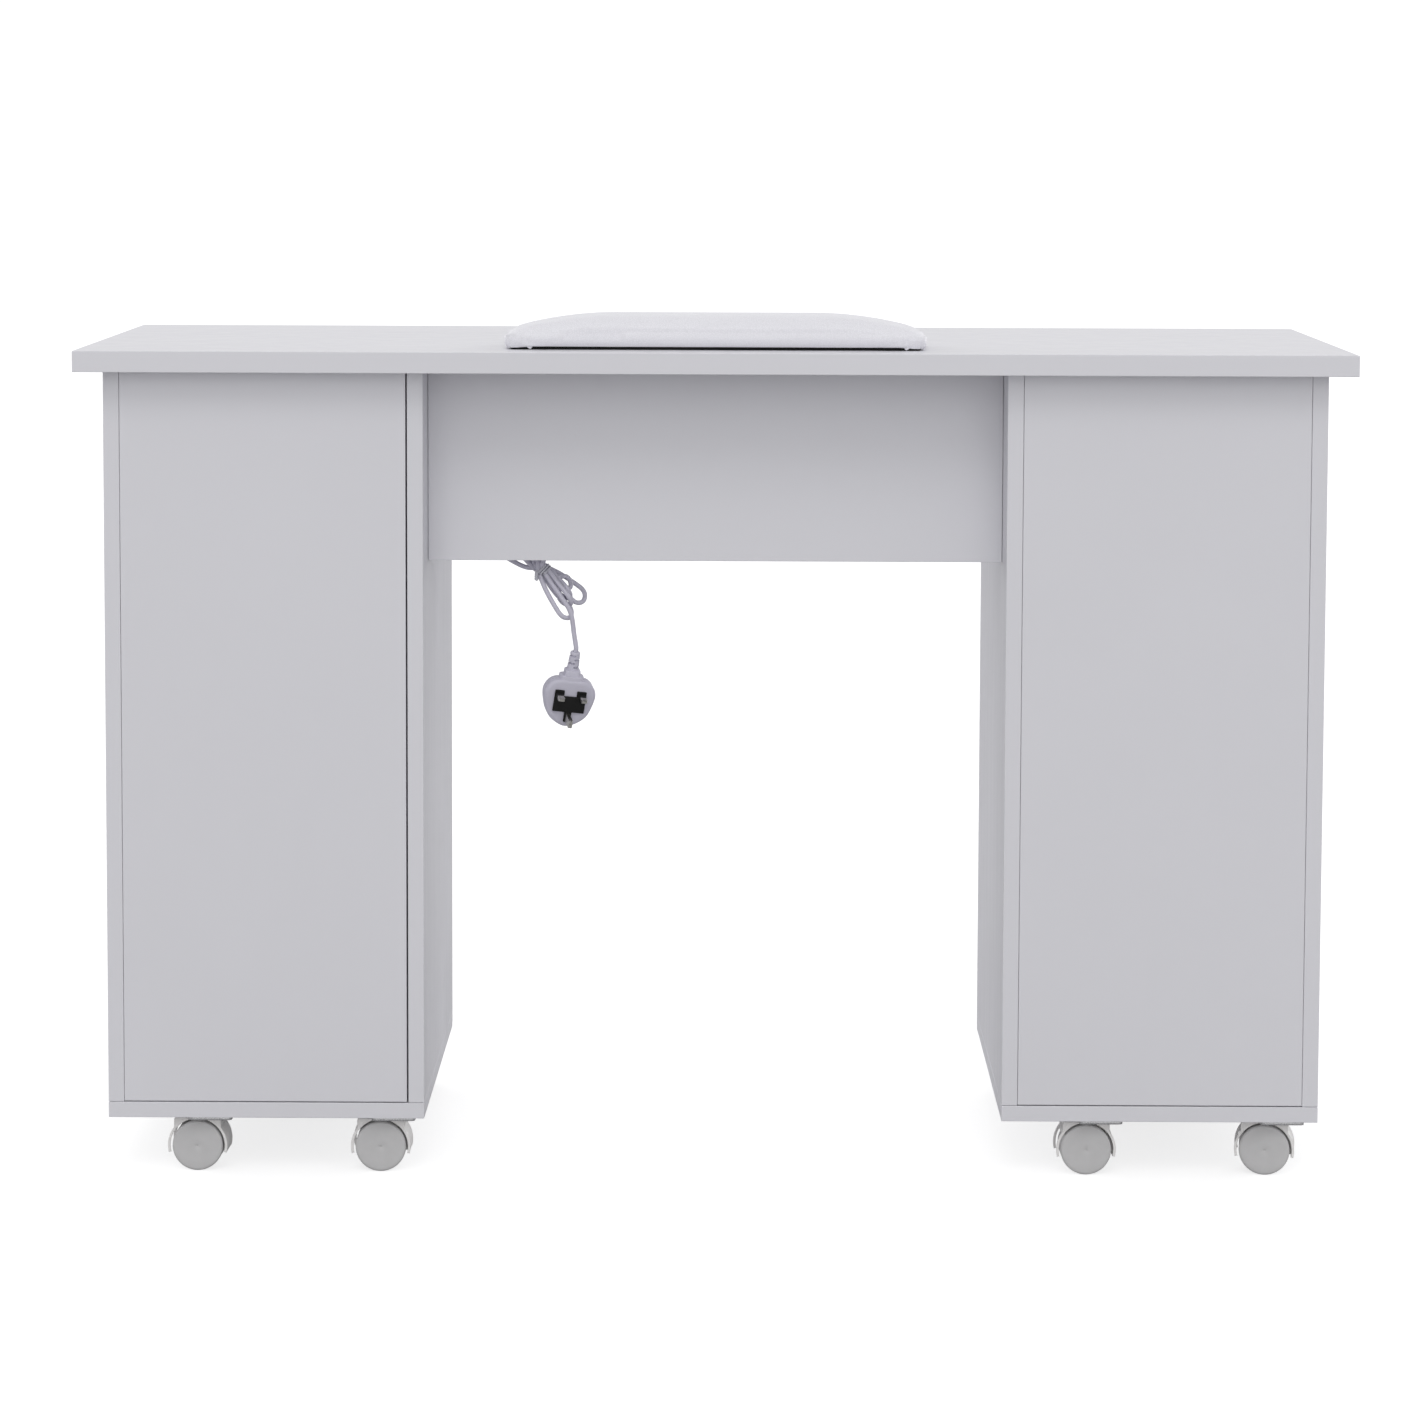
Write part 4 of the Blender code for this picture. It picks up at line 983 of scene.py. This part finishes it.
def cushion():
    """The leather cover pulled over the foam, gathered in small folds under both ends."""
    low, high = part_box("wrist_rest_cushion")
    obj = linked("wrist_cushion", cushion_cage())
    inflate(obj, voxel=0.0045, pressure=4.0, frames=20, cap=INFLATED_CAP)
    middle = (low + high) / 2
    half = (high - low) / 2
    widest = Vector([max(abs(vertex.co[i] - middle[i]) for vertex in obj.data.vertices) for i in (0, 1)])
    crown = max(vertex.co.z for vertex in obj.data.vertices)
    top = high.z - CUSHION_SLACK / 2
    board_low, board_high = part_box("wrist_rest_base")
    board_t = board_high.z - board_low.z
    for vertex in obj.data.vertices:
        co = vertex.co
        co.x = middle.x + (co.x - middle.x) * half.x / widest.x
        co.y = middle.y + (co.y - middle.y) * half.y / widest.y
        co.z = max(low.z + (co.z - low.z) * (top - low.z) / (crown - low.z), low.z)
        distance, way = outside_board(co, board_low, board_high)
        near_rim = ease(distance, *RIM_BAND)
        fall = 1 - min(max((co.z - low.z - FOOT_H) / (SIDE_H - FOOT_H), 0.0), 1.0)
        near_end = ease(abs(co.x), *(half.x - inset for inset in END_HEM_BAND))
        share = HEM_SHARE + (HEM_SHARE_END - HEM_SHARE) * near_end
        if fall > 0:
            co += way * max(SIDE_OUT - FOOT_IN * fall**2 - distance, 0.0) * near_rim
            co.z -= (co.z - low.z) * near_rim * fall + board_t * share * near_rim * fall**2
        end = max(0.0, (abs(co.x) - (half.x - GATHER_L)) / GATHER_L)
        gather = end * max(0.0, 1 - (co.z - low.z) / GATHER_H) * GATHER_DEPTH
        on_side = abs(co.y - middle.y) > half.y * 0.6
        pleat = math.cos(co.x * PLEATS[0] + 1.1 * math.sin(co.y * 90.0)) * on_side
        at_tip = max(0.0, (abs(co.x) - (half.x - END_PLEAT_L)) / END_PLEAT_L)
        pleat += math.cos(co.y * PLEATS[1]) * at_tip
        outward = Vector((math.copysign(end, co.x), (co.y - middle.y) / half.y, 0.0))
        vertex.co = co + outward * gather * pleat
        vertex.co.x = min(max(vertex.co.x, low.x), high.x)
        vertex.co.y = min(max(vertex.co.y, low.y), high.y)
    smooth(obj.data, 180.0)
    obj.data.materials.append(LEATHER)
    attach(obj, "wrist_rest")
    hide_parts("wrist_rest_cushion")


def cover_folds():
    """The cover's corners are folded like a parcel: a pointed flap hangs below the hem near each end."""
    low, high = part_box("wrist_rest_base")
    hem = high.z - (high.z - low.z) * HEM_SHARE
    out = SIDE_OUT - FOOT_IN
    work = bmesh.new()
    for x, lean in zip(FOLD_X, FOLD_LEAN):
        for y in (low.y - out, high.y + out):
            loops = []
            for share in (0.0, 0.25, 0.55, 0.8, 1.0):
                half_w = 0.0032 * (1 - share) ** 0.7 + 0.0005
                half_t = 0.0012 * (1 - 0.5 * share)
                centre = (x + lean * share, y, hem + 0.0012 - share * FOLD_L)
                loops.append(oval(centre, half_w, half_t, 12))
            rings(work, loops)
    piece("cover_folds", work, LEATHER, "wrist_rest", degrees=60.0)


# ---- furniture fittings ----
def knobs():
    """Turned mushroom knobs, each on a thin backplate."""
    profile = [
        (0.0088, 0.0), (0.0096, 0.0003), (0.0098, 0.0010), (0.0092, 0.0016), (0.0062, 0.0022),
        (0.0050, 0.0042), (0.0050, 0.0076), (0.0062, 0.0104), (0.0100, 0.0128), (0.0130, 0.0150),
        (0.0139, 0.0168), (0.0137, 0.0184), (0.0122, 0.0201), (0.0094, 0.0210), (0.0050, 0.0214),
        (0.0010, 0.0215),
    ]
    for body in ("door", *(f"{level}_drawer" for level in LEVELS)):
        name = f"{body}_knob"
        low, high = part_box(name)
        place = facing(((low.x + high.x) / 2, low.y, (low.z + high.z) / 2), (0.0, 1.0, 0.0))
        mesh = turned(name, profile, place)
        piece(f"{name}_turned", mesh, STEEL, body, (name,), 30.0)


def hinges():
    """Butt hinges: knuckles turn about turn belong to the side panel and to the door, on one pin."""
    door_low, door_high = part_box("door")
    radius = HINGE_R
    for name in ("lower_hinge", "upper_hinge"):
        low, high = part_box(name)
        narrow = high.y - low.y < 3 * radius
        axis = Vector((low.x + radius, low.y + radius if narrow else high.y - radius, 0.0))
        height = high.z - low.z
        step = height / 5
        edge_r = radius - 0.0003
        knuckle = [(edge_r, 0.0002), (radius, 0.0005), (radius, step - 0.0005), (edge_r, step - 0.0002)]
        pin = [(0.0008, -0.0012), (0.0016, -0.0008), (0.0016, height + 0.0008), (0.0008, height + 0.0012)]
        leaf_x, leaf_y = door_low.x - 0.0001, axis.y + radius - 0.0011
        for body, members, suffix in (("root", (0, 2, 4), "fixed"), ("door", (1, 3), "moving")):
            work = bmesh.new()
            for i in members:
                z = low.z + i * step
                lathe(work, knuckle, Matrix.Translation((axis.x, axis.y, z)), 28)
                if body == "door":
                    far = (leaf_x, axis.y + radius - 0.0001, z + step - 0.0004)
                    rounded_block(work, (axis.x, leaf_y, z + 0.0004), far, 0.0002)
            near, far = (door_low.x - 0.0010, leaf_y), (leaf_x, door_high.y - 0.0010)
            if body == "root":
                lathe(work, pin, Matrix.Translation((axis.x, axis.y, low.z)), 20)
                near, far = (axis.x, low.y), (high.x, low.y + 0.0009)
            rounded_block(work, (*near, low.z + 0.0006), (*far, high.z - 0.0006), 0.0002)
            stands = (name,) if body == "root" else ()
            piece(f"{name}_{suffix}", mesh_from(work, name), STEEL, body, stands, 30.0)
        heights = [low.z + height * share for share in (0.2, 0.5, 0.8)]
        middle_y = (axis.y + radius + door_high.y) / 2
        edge = [facing((door_low.x - 0.0010, middle_y, z), (-1.0, 0.0, 0.0)) for z in heights]
        screws(f"{name}_screws", edge, "door", 0.0024, 0.0006)


def grille():
    """A drop-in grille: a flush lip with slots, a skirt below it and a cross rib."""
    low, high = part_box("vent_grille")
    lip, inset, wall = 0.0017, 0.0072, 0.0020
    half, pitch = 0.00325, 0.0135  # of the slots
    left, right = low.x + 0.0180, high.x - 0.0180
    slots = []
    for i in range(-4, 5):
        y = (low.y + high.y) / 2 + i * pitch
        slots.append(arc((right - half, y), half, -90, 90, 8) + arc((left + half, y), half, 90, 270, 8))
    place = Matrix.Translation((0.0, 0.0, high.z - lip / 2))
    outline = rectangle((low.x, low.y), (high.x, high.y), 0.004)
    sheet = plate_mesh("lip", [outline, *slots], lip / 2, 0.0003, place)
    work = bmesh.new()
    a = Vector((low.x + inset, low.y + inset, low.z))
    b = Vector((high.x - inset, high.y - inset, high.z - lip + 0.0002))
    for corner, opposite in (
        ((a.x, a.y), (b.x, a.y + wall)), ((a.x, b.y - wall), (b.x, b.y)),
        ((a.x, a.y + wall), (a.x + wall, b.y - wall)), ((b.x - wall, a.y + wall), (b.x, b.y - wall)),
        ((-wall / 2, a.y + wall), (wall / 2, b.y - wall)),
    ):
        rounded_block(work, (*corner, a.z), (*opposite, b.z), 0.0003)
    mesh = joined("grille", sheet, mesh_from(work, "skirt"))
    piece("grille", mesh, WHITE_PLASTIC, "vent_grille", ("vent_grille",), 30.0)


def fan():
    """The impeller with twisted blades, the finger guard under the outlet and the housing's screws."""
    low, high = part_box("impeller")
    centre = Vector(((low.x + high.x) / 2, (low.y + high.y) / 2, 0.0))
    hub, tip_r = 0.0175, (high.x - low.x) / 2
    deck = high.z - 0.014
    work = bmesh.new()
    hub_profile = [
        (0.0020, low.z), (0.0020, deck), (hub - 0.0006, deck), (hub, deck + 0.0006),
        (hub, high.z - 0.0030), (hub - 0.0012, high.z - 0.0010), (hub - 0.0040, high.z),
        (0.0050, high.z + 0.0001), (0.0042, high.z - 0.0012),
    ]
    lathe(work, hub_profile, Matrix.Translation(centre))
    for i in range(BLADES):
        turn = 2 * math.pi * i / BLADES
        loops = []
        for k in range(7):
            share = k / 6
            r = hub - 0.0015 + (tip_r - hub + 0.0013) * share
            pitch = math.radians(46.0 - 20.0 * share)
            chord = 0.0145 + 0.0030 * math.sin(math.pi * share)
            sweep = turn + 0.22 * share**2
            out = Vector((math.cos(sweep), math.sin(sweep), 0.0))
            way = Vector((-math.sin(sweep), math.cos(sweep), 0.0))
            section = []
            for c, t in BLADE_SECTION:
                along = c * chord
                h = t + 0.0012 * (1 - (2 * c) ** 2)
                forward = along * math.cos(pitch) - h * math.sin(pitch)
                rise = along * math.sin(pitch) * 0.80 + h * math.cos(pitch)
                section.append(centre + out * r + way * forward + Vector((0.0, 0.0, deck + 0.0068 + rise)))
            loops.append(section)
        rings(work, loops)
    piece("fan_wheel", work, BLACK_PLASTIC, "impeller", ("impeller",), 35.0)
    shell_low, shell_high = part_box("fan_housing")
    wire_r = 0.0009
    level = shell_low.z - wire_r
    hoops = []
    for radius in (0.016, 0.028, 0.040, 0.052, 0.060):
        hoops.append([centre + Vector((x, y, level)) for x, y in arc((0, 0), radius, 0, 352.5, 47)])
    wire("fan_guard_rings", hoops, wire_r, STEEL, True)
    spokes = []
    for i in range(4):
        a = math.pi / 4 + i * math.pi / 2
        way = Vector((math.cos(a), math.sin(a), 0.0))
        lift = Vector((0.0, 0.0, level + 0.0012))
        spokes.append([centre + way * r + lift for r in (0.012, 0.035, 0.0625)])
    wire("fan_guard_spokes", spokes, wire_r, STEEL)
    under = shell_high.z - 0.0030
    places = []
    for x in (-0.106, -0.036, 0.036, 0.106):
        for y in (shell_low.y + 0.0050, shell_high.y - 0.0050):
            if abs(x) > 0.1 or y < 0:
                places.append(facing((x, y, under), (0.0, 0.0, -1.0)))
    screws("housing_screws", places, "root", 0.0032, 0.0016)


def rocker():
    """The switch's rocker, dished on its face."""
    low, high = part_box("rocker_switch")
    work = bmesh.new()
    profile = (  # height from the middle, how far out
        (-0.0070, 0.0055), (-0.0045, 0.0042), (-0.0015, 0.0022),
        (0.0015, 0.0014), (0.0045, 0.0012), (0.0070, 0.0016),
    )
    middle, half = (low + high) / 2, (high.x - low.x) / 2
    base = low.y + 0.0005
    lift = high.y - base - 0.0055
    loops = []
    for share in (-1.0, -0.94, -0.5, 0.0, 0.5, 0.94, 1.0):
        x = middle.x + half * share
        edge = 0.0006 if abs(share) == 1.0 else 0.0
        dish = 0.0005 * (1 - share**2)
        loop = [Vector((x, base + lift + y - edge - dish, middle.z + z)) for z, y in profile]
        loop += [Vector((x, base, middle.z + z)) for z in (0.0060, -0.0060)]
        loops.append(loop)
    rings(work, loops)
    piece("rocker", work, BLACK_PLASTIC, "rocker_switch", ("rocker_switch",), 30.0)


def cam_caps():
    """Round cover caps over the cam fittings inside the pedestals, and the shelf's pins."""
    work = bmesh.new()
    cap = [(0.0090, -0.0002), (0.0090, 0.0006), (0.0082, 0.0011), (0.0020, 0.0013)]
    for side in ("left", "right"):
        outer_low, outer_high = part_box(f"{side}_outer_side_panel")
        inner_low, inner_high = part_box(f"{side}_inner_side_panel")
        left, right = (outer_high.x, inner_low.x) if side == "left" else (inner_high.x, outer_low.x)
        floor_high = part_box(f"{side}_floor_board")[1]
        for y in (-0.120, 0.120):
            for z in (floor_high.z + 0.034, outer_high.z - 0.034):
                for x, way in ((left, 1.0), (right, -1.0)):
                    lathe(work, cap, facing((x, y, z), (way, 0.0, 0.0)), 28)
    piece("cam_caps", work, WHITE_PLASTIC, "root", degrees=30.0)
    work = bmesh.new()
    shelf_low, shelf_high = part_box("cabinet_shelf")
    for y in (shelf_low.y + 0.045, shelf_high.y - 0.045):
        for x, way in ((shelf_low.x, 1.0), (shelf_high.x, -1.0)):
            pin = [(0.0024, -0.0004), (0.0024, 0.0088), (0.0018, 0.0095)]
            lathe(work, pin, facing((x, y, shelf_low.z - 0.0026), (way, 0.0, 0.0)), 20)
    piece("shelf_pins", work, STEEL, "root", degrees=30.0)


def drawer_screws():
    """Two screws through each drawer box's front wall into its front panel."""
    for name in (f"{level}_drawer" for level in LEVELS):
        low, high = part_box(f"{name}_box")
        middle_z = (low.z + high.z) / 2
        inner = high.y - 0.010
        places = [facing((x, inner, middle_z), (0.0, -1.0, 0.0)) for x in (low.x + 0.055, high.x - 0.055)]
        screws(f"{name}_screws", places, name, 0.0036, 0.0014)


def boards():
    """The carried-over panels and shells keep their own meshes and take their finishes."""
    finishes = {
        LAMINATE: (
            "tabletop", "modesty_panel", "door", "cabinet_shelf",
            *(f"{side}_{board}" for side in ("left", "right") for board in BOARDS),
            *(f"{level}_drawer_front" for level in LEVELS),
        ),
        DRAWER_BOARD: tuple(f"{level}_drawer_box" for level in LEVELS),
        HOUSING_PLASTIC: ("fan_housing",),
    }
    for material, names in finishes.items():
        for name in names:
            NODES[name].data.materials.clear()
            NODES[name].data.materials.append(material)


# ---- finishes ----
LAMINATE = laminate("white_laminate", (0.720, 0.716, 0.755), 0.36)
DRAWER_BOARD = laminate("drawer_board", (0.640, 0.640, 0.660), 0.50)
HOOD_PLASTIC = plastic("grey_plastic", (0.860, 0.845, 0.835), 0.42)
HOUSING_PLASTIC = plastic("housing_plastic", (0.420, 0.420, 0.430), 0.48, grain=1200.0, depth=0.00005)
WHEEL_PLASTIC = plastic("wheel_plastic", (0.575, 0.570, 0.575), 0.50, tone=0.07)
WHITE_PLASTIC = plastic("white_plastic", (0.780, 0.780, 0.790), 0.38)
BLACK_PLASTIC = plastic("black_plastic", (0.010, 0.010, 0.010), 0.46, tone=0.20, shine=0.22)
BLACK_BOARD = plastic(
    "black_board", (0.008, 0.008, 0.008), 0.60, grain=2200.0, depth=0.00006, tone=0.30, shine=0.2
)
STEEL = metal("plated_steel", (0.640, 0.640, 0.650), 0.28)
PIN_METAL = metal("pin_metal", (0.520, 0.510, 0.480), 0.30, (1.0, 0.08, 1.0))
LEATHER = leather("white_leather", (0.825, 0.820, 0.865), 0.42)
FLEX = plastic("white_flex", (0.560, 0.545, 0.635), 0.42)
TIE_PAPER = plastic("tie_paper", (0.500, 0.500, 0.550), 0.60, grain=2500.0, depth=0.00008)

camera()
studio()
hank_tie()
plug()
strain_relief()
cord()
boards()
casters()
rest_base()
cushion()
cover_folds()
knobs()
hinges()
grille()
fan()
rocker()
cam_caps()
drawer_screws()
